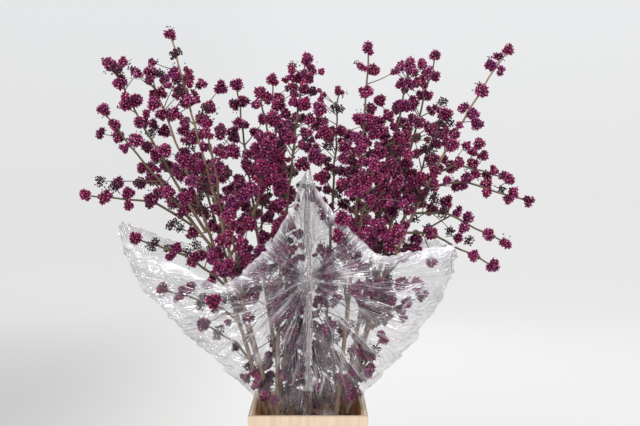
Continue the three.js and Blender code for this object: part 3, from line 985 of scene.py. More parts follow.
def stand_berries(ways, seats, tint, random, berries, size):
    """Adds a berry on every seat, most in the cluster's own tint."""
    corners, faces = berry_dome()
    count = len(seats)
    right, up = standing(ways, random)
    sizes = (size * random.uniform(*BERRY_SIZES, count))[:, None, None]
    shape = corners[None, :, 0:1] * right[:, None] + corners[None, :, 1:2] * up[:, None]
    points = seats[:, None] + (shape + corners[None, :, 2:3] * ways[:, None]) * sizes
    others = random.random(count) < OTHER_KIND_SHARE
    tints = np.where(others, random.integers(0, len(KIND_SHARES), count), tint)
    # Some berries, at random, take the pale colour as painted highlights
    tints = np.where(random.random(count) < PAINTED_GLINT_SHARE, PAINTED_GLINT, tints)
    berries.add_copies(points, faces, tints)


def dress_fringe(centre, radius, random, berries, stalks, size):
    """A few small dark berries that stand out from a cluster on stalks."""
    corners, faces = small_ball()
    number = int(random.integers(*FRINGE_NUMBER))
    way = unit(random.normal(size=3))
    ways = units(way + random.normal(0, FRINGE_DRIFT, (number, 3)))
    seats = centre + ways * radius * random.uniform(*FRINGE_REACH, (number, 1))
    points = seats[:, None] + corners * size * random.uniform(*FRINGE_SIZES, (number, 1, 1))
    berries.add_copies(points, faces, DRIED)
    foot = centre + way * radius * 0.5
    stalks.add_copies(*spikes(np.repeat(foot[None], number, axis=0), seats, STALK_RADIUS))


def dress_sparse_ball(one, centre, radius, random, berries, stalks, size):
    """A few dried berries on bare stalks."""
    corners, faces = small_ball()
    lobes = centre + ball_directions(DRIED_LOBES) @ random_turn(random) * radius * LOBE_REACH
    roots = one.centre + np.outer((lobes - one.centre) @ one.heading, one.heading) * LOBE_ROOT
    stalks.add_copies(*spikes(roots, lobes, LOBE_STALK_RADIUS))
    for lobe in lobes:
        number = int(random.integers(*DRIED_NUMBER))
        centres = lobe + ball_directions(number) @ random_turn(random) * radius * LOBE_RADIUS
        berry = corners @ random_turn(random) * size
        points = centres[:, None] + berry * random.uniform(*DRIED_SIZES, (number, 1, 1))
        berries.add_copies(points, faces, DRIED)
        stalks.add_copies(*spikes(np.repeat(lobe[None], number, axis=0), centres, STALK_RADIUS))


def dress_cluster(one, random, berries, stalks, size):
    """Adds a cluster's berries and stalks to the gathered meshes."""
    share = LOW_SPARSE if one.centre[2] - RIM < LOW_HEIGHT else SPARSE_SHARE
    if one.kind == "tip":
        share = 0
    elif within(OPEN_PLACES, one.centre):
        share = OPEN_SPARSE
    sparse = random.random() < share
    tint = random.choice(len(KIND_SHARES), p=KIND_SHARES)
    for centre, radius in cluster_balls(one, random):
        if sparse:
            dress_sparse_ball(one, centre, radius * SPARSE_SIZE, random, berries, stalks, size)
            continue
        dress_full_ball(centre, radius, tint, random, berries, size)
        if random.random() < FRINGE_SHARE:
            dress_fringe(centre, radius, random, berries, stalks, size)


# Twigs and bark

TAN_SHOOTS = ("left_leader_stem_shoot", "left_outer_stem_shoot", "right_leader_stem_shoot")
TWIG_SEEDS = {"left": 7, "right": 8}
TWIG_STEP = 8
TWIG_FACES = 7
TWIG_SIZE = 0.92
LOOSE_SINK = 3.0
TWIG_SWAY = 3.6
SWAY_LENGTH = 46
MOST_SWAY_SEED = 90
SWAY_SEED_STEP = 7
TWIG_SWELL = 0.2
SWELL_LENGTH = 4
TIP_SHARE = 0.6
FOOT_SHARE = 1.15
ROUGHNESS = (0.96, 1.04)
LATERAL_STEP = 12
FULL_TURN = 6.28
LATERAL_FACES = 5
LATERAL_TIP_RADIUS = 0.7
LATERAL_BEND = 0.02
FINE_TWIG_RADIUS = 1.2
FINE_BEND = 0.06

BARK_SIDES = 14
BARK_STEP = 5
BARK_SIZE = 0.97
BARK_SWELL = 0.05
BARK_FURROWS = ((1, 0.09), (3.1, 0.045))
FURROW_TURN = 2.2
FURROW_LENGTH = 45
FURROW_SEED = 9
SCAR_DEPTH = 0.22
SCAR_LENGTH = 5
BARK_FOOT_SHARE = 1.25


def shoot_path(shoot):
    """Shares of a shoot's length for the rings of its main twig, with one at each node."""
    stops = [0.0, *sorted(node.t for node in shoot.nodes), 1.0]
    shares = []
    for a, b in zip(stops, stops[1:]):
        steps = max(2, round((b - a) * shoot.line.length / TWIG_STEP))
        shares += [mix(a, b, i / steps) for i in range(steps)]
    return np.array([*shares, 1.0])


def rooted(points, radii, line, parent, share):
    """A limb's path and radii with one more ring at its foot, sunk in what carries it."""
    sunk = parent.line.radius(0.5) if parent else LOOSE_SINK
    return np.vstack([points[0] - line.heading(0) * sunk, points]), np.concatenate([radii[:1] * share, radii])


def dress_twig(shoot, random, twigs):
    """Adds a shoot's main twig, swollen at its nodes, and its side twigs."""
    shares = shoot_path(shoot)
    length = shoot.line.length
    points = np.array([shoot.runs.at(t) for t in shares])
    seed = random.uniform(0, MOST_SWAY_SEED)
    for i in range(3):
        sway = drift_at(rows_of(shares * length, 0, 0), SWAY_LENGTH, seed + SWAY_SEED_STEP * i)
        points[:, i] += TWIG_SWAY * sway * smooth(shares * 5)
    radii = np.array([shoot.line.radius(t) for t in shares]) * TWIG_SIZE
    for node in shoot.nodes:
        radii *= 1 + TWIG_SWELL * bell((shares - node.t) * length / SWELL_LENGTH)
    radii[-1] *= TIP_SHARE
    points, radii = rooted(points, radii, shoot.line, shoot.parent, FOOT_SHARE)
    radii = radii * random.uniform(*ROUGHNESS, len(radii))
    twigs.add(*tube(points, radii, TWIG_FACES), int(shoot.name not in TAN_SHOOTS))
    for lateral in shoot.laterals:
        dress_lateral(lateral, random, twigs)


def dress_lateral(lateral, random, twigs):
    """Adds a side twig with a slight bend."""
    across = crossways(lateral.heading, random.uniform(0, FULL_TURN))
    shares = np.linspace(0, 1, max(4, round(lateral.length / LATERAL_STEP)))
    bend = (FINE_BEND if lateral.fine else LATERAL_BEND) * lateral.length * np.sin(math.pi * shares)
    path = lateral.root + np.outer(shares * lateral.length, lateral.heading) + np.outer(bend, across)
    foot = FINE_TWIG_RADIUS if lateral.fine else LATERAL_RADIUS
    twigs.add(*tube(path, mix(foot, LATERAL_TIP_RADIUS, shares), LATERAL_FACES), 1)


def bark_radii(line, bare, seed):
    """Ring places and the radius at every corner of each, with furrows, swollen nodes and leaf scars."""
    rings = max(3, round(line.length * bare / BARK_STEP))
    shares = np.linspace(0, bare, rings + 1)
    turns = 2 * math.pi * np.arange(BARK_SIDES) / BARK_SIDES
    radii = np.zeros((rings + 1, BARK_SIDES))
    for i, share in enumerate(shares):
        along = share * line.length
        node = round(along / NODE_PITCH)
        swell = bell((along - node * NODE_PITCH) / SCAR_LENGTH)
        for j, turn in enumerate(turns):
            x, y = math.cos(turn) * FURROW_TURN + seed * FURROW_SEED, math.sin(turn) * FURROW_TURN
            here = Vector((x, y, along / FURROW_LENGTH))
            furrow = sum(noise.noise(here * size) * depth for size, depth in BARK_FURROWS)
            scar = max(0, math.cos(2 * (turn - node * math.pi / 2))) ** 3 * SCAR_DEPTH
            radii[i, j] = line.radius(share) * (BARK_SIZE + furrow + swell * (BARK_SWELL + scar))
    return shares, radii


# Film in the looks

FILM_SEED = 3.7
FILM_ROUND = 280
FILM_UP = 94
FILM_IN_BOX = 8
FILM_IN = 4
FILM_OUT = 11
FILM_OFF = 2
FILM_SUNK = 3
FILM_WALL_GAP = 0.4
FRONT_DEPTH = 60
KNOT = np.array((-1.0, -150.0, RIM + 273.0))
KNOT_WRAP = 1.2

# Relief: waves and depths of the ragged lip, the ruffle below it, and the pleats by the knot
RAGGED = ((6, 9), (22, 5))
RUFFLES = 31
RUFFLE_DEPTH = 3.5
RUFFLE_HEIGHT = 55
PLEATS = 5.2
PLEAT_LENGTH = 130
PLEAT_DEPTH = 6

# Milk on the film, white that is partly painted highlight and partly the real whiteness of creased and
# gathered film: at the lip, as far down as this, at the knot, as radius and how much milk, and in bands and
# streaks that run out from the knot, as how many round it, how long, how sharp and how much milk
LIP_MILK = 42
KNOT_MILK = ((26, 0.9), (75, 0.35))
BANDS = ((4.3, 170, 4.5, 0.45), (9.5, 120, 5, 0.4))
STREAKS = 3
STREAK_LENGTH = 110
STREAK_MILK = 0.26

# Pinches of milk, partly painted highlight, at x, height above the rim and radius, and folds as both ends,
# half-width and how much milk
PINCH_MILK = 0.8
PINCHES = ((-97.0, 121.0, 15.0), (-143.0, 37.0, 14.0), (38.0, -3.0, 18.0), (77.0, 290.0, 20.0))
FOLDS = (
    ((9, 276), (37, 326), 2.4, 1.0),
    ((-47, 270), (-22, 312), 2.6, 0.8),
    ((-62, 282), (-36, 330), 2.2, 0.6),
    ((-322, 247), (-118, 196), 3.2, 0.8),
    ((-250, 215), (-60, 252), 2.6, 0.6),
    ((-148, 162), (-78, 180), 3.0, 0.9),
    ((14, 262), (150, 318), 4.5, 0.8),
    ((20, 254), (120, 292), 3.0, 0.6),
    ((118, 184), (172, 156), 2.6, 0.8),
    ((206, 256), (160, 190), 3.2, 0.7),
    ((-20, 200), (-60, 120), 2.4, 0.5),
)

# Facets as size and slope, and creases that fan out from the knot as how many, how long and how deep
FACET_SIZES = ((72, 0.16), (34, 0.1))
FACET_CHANCE = Vector((12.9, 78.2, 37.7))
FACET_TURNS = 43.7
FACET_FALLING = -0.35
FAN_CREASES = ((8, 150, 22), (17, 95, 12), (30, 70, 7))

SEAM_WIDTH = 26
SEAM_TOP = 462
SEAM_FOOT = -6
SEAM_TOP_DEPTH = 78
SEAM_ROWS = 130
SEAM_COLUMNS = 9
SEAM_WAVES = 14
SEAM_SHARES = (0.86, 0.97)
SEAM_PLEAT = 2.6
SEAM_WRINKLE = 1.6
SEAM_CURL = 5
SEAM_DRIFT = 5
SEAM_PINCH = 0.35
SEAM_PINCH_HEIGHT = 24
KNOT_RADIUS = 18
KNOT_SPOKES = 44
KNOT_RINGS = 7
KNOT_PLEATS = 11
KNOT_PLEAT = 3
KNOT_CRUMPLE = 5
KNOT_SHARE = 0.84
KNOT_OUT = 5
KNOT_CUP = 7


def facets(points, size, seed):
    """Flat facets between straight creases: 0 on the creases, rising or falling evenly away from them."""
    heights = np.zeros(len(points))
    shift = Vector((seed, seed * 0.7, 0))
    for i, point in enumerate(points / size):
        place_at = Vector(point) + shift
        _, near = noise.voronoi(place_at)
        across = near[1] - near[0]
        away = across.normalized().dot((near[0] + near[1]) / 2 - place_at)
        rising = math.sin(near[0].dot(FACET_CHANCE) * FACET_TURNS) > FACET_FALLING
        heights[i] = away if rising else -away
    return heights * size


def drift_at(points, size, seed):
    """Smooth noise from -1 to 1 at each point."""
    shift = Vector((seed, 0, 0))
    return np.array([noise.noise(Vector(point) + shift) for point in points / size])


def around_knot(sleeve, flat, deep):
    """Angle about the knot and distance from it, seen from the front, and round the sides as if unrolled."""
    across = np.abs(flat[:, 0] - KNOT[0]) + KNOT_WRAP * np.maximum(flat[:, 1] + deep / 2, 0)
    up = flat[:, 2] - KNOT[2]
    away = np.hypot(across, up) + 1e-6
    return sleeve.side * np.arccos(np.clip(up / away, -1, 1)), away


def sleeve_places(sleeve):
    """Every point of an uncreased sleeve, with its way round and up the sleeve and its way from the knot."""
    seed = FILM_SEED + 5 * sleeve.side
    turns = np.linspace(0, 2 * math.pi, FILM_ROUND, endpoint=False)
    ups = np.concatenate([np.linspace(-1, 0, FILM_IN_BOX, endpoint=False), np.linspace(0, 1, FILM_UP + 1)])
    up, angle = grid_of(ups, turns)
    ring = rows_of(np.cos(turns), np.sin(turns), 0)
    ragged = sum(depth * drift_at(ring * waves, 1, seed) for waves, depth in RAGGED)
    lip = rim_height(sleeve, angle, True) + np.tile(ragged, len(ups))
    height = np.where(up < 0, up * (RIM - BOARD - 1), up * lip)
    radius = sleeve_radius(sleeve, angle, height, True)
    _, deep, axis = sleeve_section(sleeve, height)
    flat = rows_of(axis + sleeve.side * radius * np.cos(angle), -radius * np.sin(angle), RIM + height)
    fan, away = around_knot(sleeve, flat, deep)
    front = smooth(-flat[:, 1] / FRONT_DEPTH)
    near = front * smooth(away / 25) * (1 - smooth((away - 60) / 240))
    return SimpleNamespace(
        seed=seed,
        flat=flat,
        angle=angle,
        height=height,
        below_lip=lip - height,
        radius=radius,
        axis=axis,
        deep=deep,
        fan=fan,
        away=away,
        front=front,
        near=near,
    )


def along_fan(at, number, length, shift=0):
    """Where each point of the film lies in a pattern that fans out from the knot."""
    return rows_of(at.fan * number + shift, at.away / length, 0)


def film_creases(at):
    """How far creases push each point of the film out. Most run out from the knot and widen on their way."""
    out = 4 * drift_at(at.flat, 100, at.seed)
    for size, slope in FACET_SIZES:
        out += facets(at.flat, size, at.seed + size) * slope
    for number, length, depth in FAN_CREASES:
        width = at.away / number
        fanned = facets(along_fan(at, number, length, at.seed), 1, at.seed + number)
        out += fanned * np.minimum(depth, width * 0.8) * smooth(width / 6)
    return out


def film_relief(at, depth):
    """How far each point of the film stands out: creases, the ruffle of the lip and pleats by the knot."""
    waves = np.sin(at.angle * RUFFLES + 2 * at.seed + 3 * np.sin(at.angle * 7))
    ruffle = smooth(1 - at.below_lip / RUFFLE_HEIGHT) * waves
    pleats = np.abs(drift_at(along_fan(at, PLEATS, PLEAT_LENGTH, at.seed), 1, at.seed))
    out = film_creases(at) - FILM_SUNK + RUFFLE_DEPTH * ruffle
    out = out + at.near * PLEAT_DEPTH * (1 - 3 * pleats)
    return np.clip(out * depth / FILM_OUT, -FILM_IN, FILM_OUT) * smooth(at.height / 60 + 0.1)


def off_clusters(points, outwards, free):
    """Moves the free points of the film off the berry clusters that would reach through it."""
    limbs, shoots = plant()
    for carrier in (*limbs, *shoots):
        for one in carrier.clusters:
            offset = one.side * (PAIR_REACH - PAIR_RADIUS) if one.kind == "pair" else one.side * 0
            for centre in (one.centre - offset, one.centre + offset):
                reach = one.radius + FILM_OFF
                near = (np.abs(points - centre).max(axis=1) < reach) & free
                if not near.any():
                    continue
                ways, apart = outwards[near], points[near] - centre
                along = (apart * ways).sum(axis=1)
                square = reach**2 - (apart * apart).sum(axis=1) + along**2
                side = 1 if along.mean() > 0 else -1
                level = side * np.sqrt(np.maximum(square, 0))
                move = np.where(square > 0, np.maximum((level - along) * side, 0) * side, 0)
                points[near] += ways * move[:, None]


def film_surface(sleeve, depth):
    """Points of a crumpled sleeve, how much milk and painted highlight the film has at each, and the way that
    its fine creases run.
    """
    at = sleeve_places(sleeve)
    push = film_relief(at, depth) / np.maximum(at.radius, 1)
    sideways = smooth((1 + np.cos(at.angle)) * 0.9)
    through = np.maximum(sideways, smooth((np.abs(at.flat[:, 1]) / at.deep - 0.7) * 5))
    off_axis = at.flat[:, 0] - at.axis
    points = at.flat.copy()
    points[:, 0] -= sleeve.side * (FILM_MIDDLE_GAP - FILM_WALL_GAP) * smooth(-np.cos(at.angle) * 2)
    points[:, 0] += off_axis * push * sideways
    points[:, 1] += at.flat[:, 1] * push * through
    outwards = units(rows_of(off_axis * sideways, at.flat[:, 1], 0))
    off_clusters(points, outwards, (at.height > 8) & (through > 0.5))
    milky = np.where(at.height < 0, 0.0, film_milk_and_glints(at))
    return points, np.clip(milky, 0, 1), film_flow(at)


def film_flow(at):
    """The film's fine creases run out from the knot. The third value is how much the film shows at all."""
    warp = drift_at(at.flat, 70, at.seed + 6)
    peak = smooth((75 - np.abs(at.flat[:, 0])) / 40) * smooth((at.height - 270) / 60)
    shown = np.where(at.height < 0, 0.0, 0.35 + 0.65 * smooth(at.height / 70) + 0.2 * peak)
    return rows_of(at.fan * 5 + 0.3 * warp, at.away / 60 + 0.5 * warp, shown)


def film_milk_and_glints(at):
    """How much milk the film has, white that is partly painted highlight and partly the real whiteness of
    creased film: at lip and knot, in bands and streaks from the knot, in pinches and on folds.
    """
    x, z = at.flat[:, 0], at.flat[:, 2] - RIM
    patchy = 0.5 + 0.5 * drift_at(at.flat, 30, at.seed + 3)
    lip = smooth(1 - at.below_lip / LIP_MILK) * (0.25 + 0.3 * at.front + 0.45 * patchy)
    (small, bright), (wide, faint) = KNOT_MILK
    knot = bright * bell(at.away / small) + faint * bell(at.away / wide) * patchy
    milk = [lip, at.front * knot]
    for number, length, sharp, most in BANDS:
        off_ridge = np.abs(drift_at(along_fan(at, number, length), 1, at.seed + number))
        ridge = np.maximum(1 - sharp * off_ridge, 0) ** 1.5
        milk.append(most * ridge * (0.35 + 0.65 * at.near) * (0.4 + patchy))
    streaks = drift_at(along_fan(at, STREAKS, STREAK_LENGTH), 1, at.seed + 12)
    milk.append(STREAK_MILK * smooth((streaks - 0.08) * 3))
    for pinch_x, pinch_z, size in PINCHES:
        apart = np.hypot(x - pinch_x, z - pinch_z)
        milk.append(at.front * PINCH_MILK * bell(apart / size) * (0.4 + patchy))
    for start, end, size, most in FOLDS:
        run, rise = end[0] - start[0], end[1] - start[1]
        along = ((x - start[0]) * run + (z - start[1]) * rise) / (run**2 + rise**2)
        share = np.clip(along, 0, 1)
        apart = np.hypot(x - start[0] - share * run, z - start[1] - share * rise)
        milk.append(at.front * most * bell(apart / size) * (0.55 + 0.45 * patchy))
    return np.maximum.reduce(milk)


def seam_surface():
    """A pleated band of film where the sleeves meet, from the peak by the knot down to the rim of the box."""
    share, across = grid_of(np.linspace(0, 1, SEAM_ROWS), np.linspace(-1, 1, SEAM_COLUMNS))
    height = mix(SEAM_TOP, SEAM_FOOT, share)
    knot = KNOT[2] - RIM
    deep = sleeve_section(SLEEVES[1], np.minimum(height, knot))[1]
    above, below = smooth((height - knot) / (SEAM_TOP - knot)), smooth((knot - height) / knot * 2)
    along = rows_of(share * SEAM_WAVES, 0, 0)
    pinch = 1 - SEAM_PINCH * bell((height - knot) / SEAM_PINCH_HEIGHT)
    width = SEAM_WIDTH / 2 * (0.75 + 0.35 * drift_at(along, 1, 8)) * pinch * mix(1, 0.5, above)
    pleat = SEAM_PLEAT * np.cos(across * 7 + 5 * drift_at(along, 1, 5))
    wrinkle = SEAM_WRINKLE * drift_at(along * 4 + across[:, None], 1, 6)
    middle = mix(KNOT[0], -FILM_MIDDLE_GAP, share) + SEAM_DRIFT * drift_at(along * 0.7, 1, 3) * (1 - above)
    front = mix(mix(*SEAM_SHARES, below) * deep, SEAM_TOP_DEPTH, above)
    y = -front + pleat + wrinkle + SEAM_CURL * across**2
    points = rows_of(middle + across * width, y, RIM + height)
    # White patches on the seam, partly painted highlight
    milky = 0.05 + 0.3 * above + 0.6 * np.maximum(drift_at(along * 3 + across[:, None] * 1.5, 1, 9), 0)
    return points, np.clip(milky, 0, 1), rows_of(across * 2, share * 6, 0.8)


def knot_surface():
    """A gathered rosette of film at the knot."""
    turns = np.linspace(0, 2 * math.pi, KNOT_SPOKES, endpoint=False)
    share, turn = grid_of(np.linspace(0.08, 1, KNOT_RINGS), turns)
    ring = rows_of(np.cos(turn), np.sin(turn), share)
    reach = KNOT_RADIUS * share * (1 + 0.35 * drift_at(ring * 1.7, 1, 2))
    x, z = reach * np.cos(turn), reach * np.sin(turn)
    pleat = (np.cos(turn * KNOT_PLEATS) * KNOT_PLEAT + KNOT_CRUMPLE * drift_at(ring * 2.3, 1, 4)) * share
    deep = sleeve_section(SLEEVES[1], KNOT[2] - RIM)[1] * KNOT_SHARE
    points = rows_of(KNOT[0] + x * 1.15, -deep + KNOT_CUP * share + pleat - KNOT_OUT, KNOT[2] + z)
    # A white fleck at the middle and along the rolled lip of the knot, painted highlight in part and the real
    # whiteness of gathered film in part
    fleck = 1.3 - np.hypot(x + 2, (z - 4) * 1.5) / 6
    rolled = smooth(share * 6 - 5) * smooth(-2 * np.sin(turn))
    milky = np.clip(np.maximum(fleck, rolled) + 0.25 * drift_at(ring * 4, 1, 6), 0, 1)
    return points, milky, rows_of(turn * 3, share * 2, 1)


def place_film(name, surface, triangles, material, stands_for):
    """Puts a sheet of film in the scene, with the values that its material reads."""
    points, milky, flow = surface
    mesh = mesh_from(name, points * MM, triangles)
    layer = mesh.attributes.new("milky", "FLOAT", "POINT")
    layer.data.foreach_set("value", milky.astype(np.float32))
    layer = mesh.attributes.new("flow", "FLOAT_VECTOR", "POINT")
    layer.data.foreach_set("vector", flow.astype(np.float32).ravel())
    place(name, mesh, [material], stands_for)


# Shader node groups


def new_group(name, inputs, outputs):
    """An empty node group with named sockets, and its input and output nodes."""
    group = bpy.data.node_groups.new(name, "ShaderNodeTree")
    for socket, kind, default in inputs:
        made = group.interface.new_socket(name=socket, in_out="INPUT", socket_type=f"NodeSocket{kind}")
        made.default_value = default
    for socket, kind in outputs:
        group.interface.new_socket(name=socket, in_out="OUTPUT", socket_type=f"NodeSocket{kind}")
    return group, group.nodes.new("NodeGroupInput"), group.nodes.new("NodeGroupOutput")


def node(tree, kind, links=(), **values):
    """A shader node with its values set, and its sockets linked or filled."""
    made = tree.nodes.new(f"ShaderNode{kind}")
    for name, value in values.items():
        setattr(made, name, value)
    for socket, source in dict(links).items():
        if isinstance(source, bpy.types.NodeSocket):
            tree.links.new(source, made.inputs[socket])
        else:
            made.inputs[socket].default_value = source
    return made


def connect(tree, target, **sources):
    """Links the sockets of a node, named with an underscore for each space, to what feeds them."""
    for socket, source in sources.items():
        tree.links.new(source, target.inputs[socket.replace("_", " ")])


def calc(tree, operation, *values, clamp=False):
    """The result of one sum, each of its values a number or the output of a node."""
    return node(tree, "Math", enumerate(values), operation=operation, use_clamp=clamp).outputs[0]


def ranged(tree, value, low, high, least=0.0, most=1.0, **more):
    """A value brought from one range into another."""
    links = {"Value": value, "From Min": low, "From Max": high, "To Min": least, "To Max": most}
    return node(tree, "MapRange", links, **more).outputs["Result"]


def on_object(tree):
    """Where a point lies on its object."""
    return node(tree, "TexCoord").outputs["Object"]


def parts_of(tree, vector):
    return node(tree, "SeparateXYZ", {"Vector": vector}).outputs


def opaque(colour):
    return (*colour[:3], 1.0)


def darker(colour, share):
    return [part * share for part in colour]


def blend_colours(tree, share, first, second):
    """A mix of two colours, each plain or the output of a node."""
    mixed = node(tree, "Mix", {0: share}, data_type="RGBA")
    for socket, colour in ((6, first), (7, second)):
        if isinstance(colour, bpy.types.NodeSocket):
            tree.links.new(colour, mixed.inputs[socket])
        else:
            mixed.inputs[socket].default_value = opaque(colour)
    return mixed.outputs[2]


@functools.lru_cache(maxsize=1)
def relief_group():
    """Stretched grain as a mask, a drifting colour and a bumped normal."""
    inputs = (
        ("Colour", "Color", (0.5, 0.5, 0.5, 1)),
        ("Dark", "Color", (0.2, 0.2, 0.2, 1)),
        ("Stretch", "Vector", (1, 1, 1)),
        ("Scale", "Float", 100),
        ("Amount", "Float", 0.5),
        ("Relief", "Float", 0.3),
        ("Depth", "Float", 0.001),
    )
    outputs = (("Colour", "Color"), ("Mask", "Float"), ("Normal", "Vector"))
    group, given, result = new_group("Grain and relief", inputs, outputs)
    placed = node(group, "Mapping", {"Vector": on_object(group), "Scale": given.outputs["Stretch"]})
    links = {"Vector": placed.outputs["Vector"], "Scale": given.outputs["Scale"]}
    grain = node(group, "TexNoise", {**links, "Detail": 4.0, "Roughness": 0.62})
    mask = ranged(group, grain.outputs["Fac"], 0.34, 0.66)
    share = calc(group, "MULTIPLY", mask, given.outputs["Amount"])
    colour = blend_colours(group, share, given.outputs["Colour"], given.outputs["Dark"])
    links = {"Height": mask, "Strength": given.outputs["Relief"], "Distance": given.outputs["Depth"]}
    bump = node(group, "Bump", links)
    connect(group, result, Colour=colour, Mask=mask, Normal=bump.outputs["Normal"])
    return group


# Scales of the film's creases and patches, across and along its flow, and of its crumple. The shade patches
# are painted reflections of darker things.
LONG_CREASES = (2.4, 0.3, 1.0)
FINE_CREASES = (8.0, 0.9, 1.0)
CREASED_PATCHES = (1.3, 0.4, 1.0)
SHADE_PATCHES = (4.5, 0.4, 1.0)
CRUMPLE = 40.0


@functools.lru_cache(maxsize=1)
def crinkle_group():
    """Creases of thin film along its flow: a mask of white lines of painted highlight, a drifting mask of
    darker patches that are painted reflections, and a bumped normal.
    """
    inputs = (("Flow", "Vector", (0, 0, 0)), ("Depth", "Float", 0.004))
    outputs = (("Lines", "Float"), ("Shade", "Float"), ("Normal", "Vector"))
    group, given, result = new_group("Crinkle", inputs, outputs)

    def along_flow(scale):
        return node(group, "Mapping", {"Vector": given.outputs["Flow"], "Scale": scale}).outputs["Vector"]

    def edges(vector, scale=1.0, dimensions="2D"):
        links = {"Vector": vector, "Scale": scale}
        made = node(group, "TexVoronoi", links, feature="DISTANCE_TO_EDGE", voronoi_dimensions=dimensions)
        return made.outputs["Distance"]

    def drifting(scale, low, high):
        links = {"Vector": along_flow(scale), "Scale": 1.0, "Detail": 2.0}
        clouds = node(group, "TexNoise", links, noise_dimensions="2D")
        return ranged(group, clouds.outputs["Fac"], low, high)

    wide, fine = edges(along_flow(LONG_CREASES)), edges(along_flow(FINE_CREASES))
    crumple = edges(on_object(group), CRUMPLE, "3D")
    here, shade = drifting(CREASED_PATCHES, 0.42, 0.6), drifting(SHADE_PATCHES, 0.36, 0.64)
    long_lines = ranged(group, wide, 0.0, 0.06, 1.0, 0.0)
    fine_lines = ranged(group, fine, 0.0, 0.12, 0.7, 0.0)
    glint_lines = calc(group, "MULTIPLY", calc(group, "MAXIMUM", long_lines, fine_lines), here)
    folded = calc(group, "MULTIPLY_ADD", fine, 0.4, wide)
    height = calc(group, "MULTIPLY_ADD", crumple, 0.15, folded)
    bump = node(group, "Bump", {"Height": height, "Strength": 1.0, "Distance": given.outputs["Depth"]})
    connect(group, result, Lines=glint_lines, Shade=shade, Normal=bump.outputs["Normal"])
    return group


# Materials


def material_with(name, **sockets):
    """A material whose Principled shader has these plain values."""
    material = bpy.data.materials.new(name)
    material.use_nodes = True
    shader = material.node_tree.nodes["Principled BSDF"]
    for socket, value in sockets.items():
        shader.inputs[socket.replace("_", " ")].default_value = value
    return material, material.node_tree, shader


def put_group(tree, group, **values):
    """A group placed in a material, with its own values."""
    made = tree.nodes.new("ShaderNodeGroup")
    made.node_tree = group
    for socket, value in values.items():
        made.inputs[socket].default_value = value
    return made


def grained(name, colour, dark, *, stretch=(1, 1, 1), scale, amount, depth, rough):
    """A material with grain in its colour and its surface."""
    material, tree, shader = material_with(name, Roughness=rough, Specular_IOR_Level=0.25)
    colours = {"Colour": opaque(colour), "Dark": opaque(dark)}
    sizes = {"Stretch": stretch, "Scale": scale, "Amount": amount, "Relief": 0.5, "Depth": depth}
    grain = put_group(tree, relief_group(), **colours, **sizes)
    connect(tree, shader, Base_Color=grain.outputs["Colour"], Normal=grain.outputs["Normal"])
    return material


def berry_skin(name, colour, shaded):
    """Glossy berry skin in one plain colour, with a little unevenness. Shaded berries have less gloss."""
    level, metal = (0.15, 0.0) if shaded else (0.45, 0.22)
    values = {"Base_Color": opaque(colour), "Specular_IOR_Level": level, "Metallic": metal}
    material, tree, shader = material_with(name, **values)
    grain = put_group(tree, relief_group(), Scale=900.0, Relief=0.25, Depth=0.0002)
    rough = ranged(tree, grain.outputs["Mask"], 0.0, 1.0, 0.16, 0.34)
    connect(tree, shader, Normal=grain.outputs["Normal"], Roughness=rough)
    return material


# White of the film's painted highlights and milk, and the colour of the painted glow of the gathered film
FILM_GLINT_WHITE = (0.94, 0.92, 0.95)
FILM_PAINTED_GLOW = (1.0, 0.98, 1.0, 1.0)


def film_material(name, colour, *, clear, milk, glow=0.0):
    """Clear film that turns milky along its creases and where it is seen edge-on. Its white along the creases
    is partly painted highlight, its darker patches are painted reflections of darker things, and its glow is
    painted light.
    """
    light = {"Emission_Color": FILM_PAINTED_GLOW, "Emission_Strength": glow}
    material, tree, shader = material_with(name, Roughness=0.09, **light)
    flow = node(tree, "Attribute", attribute_name="flow").outputs["Vector"]
    milky = node(tree, "Attribute", attribute_name="milky").outputs["Fac"]
    crinkle = put_group(tree, crinkle_group(), Depth=0.011)
    connect(tree, crinkle, Flow=flow)
    glint_lines, shade, normal = (crinkle.outputs[key] for key in ("Lines", "Shade", "Normal"))
    # The white along creases and in the milk is partly painted highlight
    white = calc(tree, "MULTIPLY_ADD", glint_lines, 0.75, milky, clamp=True)
    # Darker patches paint reflections of darker things in the film
    tone = blend_colours(tree, shade, darker(colour, 0.4), colour)
    metal = ranged(tree, white, 0.0, 1.0, 0.95, 0.1)
    edge = node(tree, "LayerWeight", {"Blend": 0.3, "Normal": normal}).outputs["Facing"]
    hazy = ranged(tree, shade, 0.0, 1.0, clear + 0.06, clear - 0.03)
    amount = calc(tree, "MULTIPLY_ADD", white, milk, hazy)
    alpha = calc(tree, "MULTIPLY_ADD", calc(tree, "POWER", edge, 2.0), 0.2, amount, clamp=True)
    shown = ranged(tree, parts_of(tree, flow)[2], 0.0, 1.0, 0.2, 1.0, clamp=False)
    faded = calc(tree, "MULTIPLY", alpha, shown, clamp=True)
    paint = blend_colours(tree, white, tone, FILM_GLINT_WHITE)
    connect(tree, shader, Base_Color=paint, Metallic=metal, Alpha=faded, Normal=normal)
    return material


# The backdrop, in metres: how high it turns from the darker floor to the wall, and where it is dimmer near on
# the left; both are painted shade
WALL_RISE = 2.2
LEFT_DIM = 0.58
DIM_LEFT = (0.0, -1.0)
DIM_NEAR = (3.6, 0.8)
DIM_LEAST = 0.12


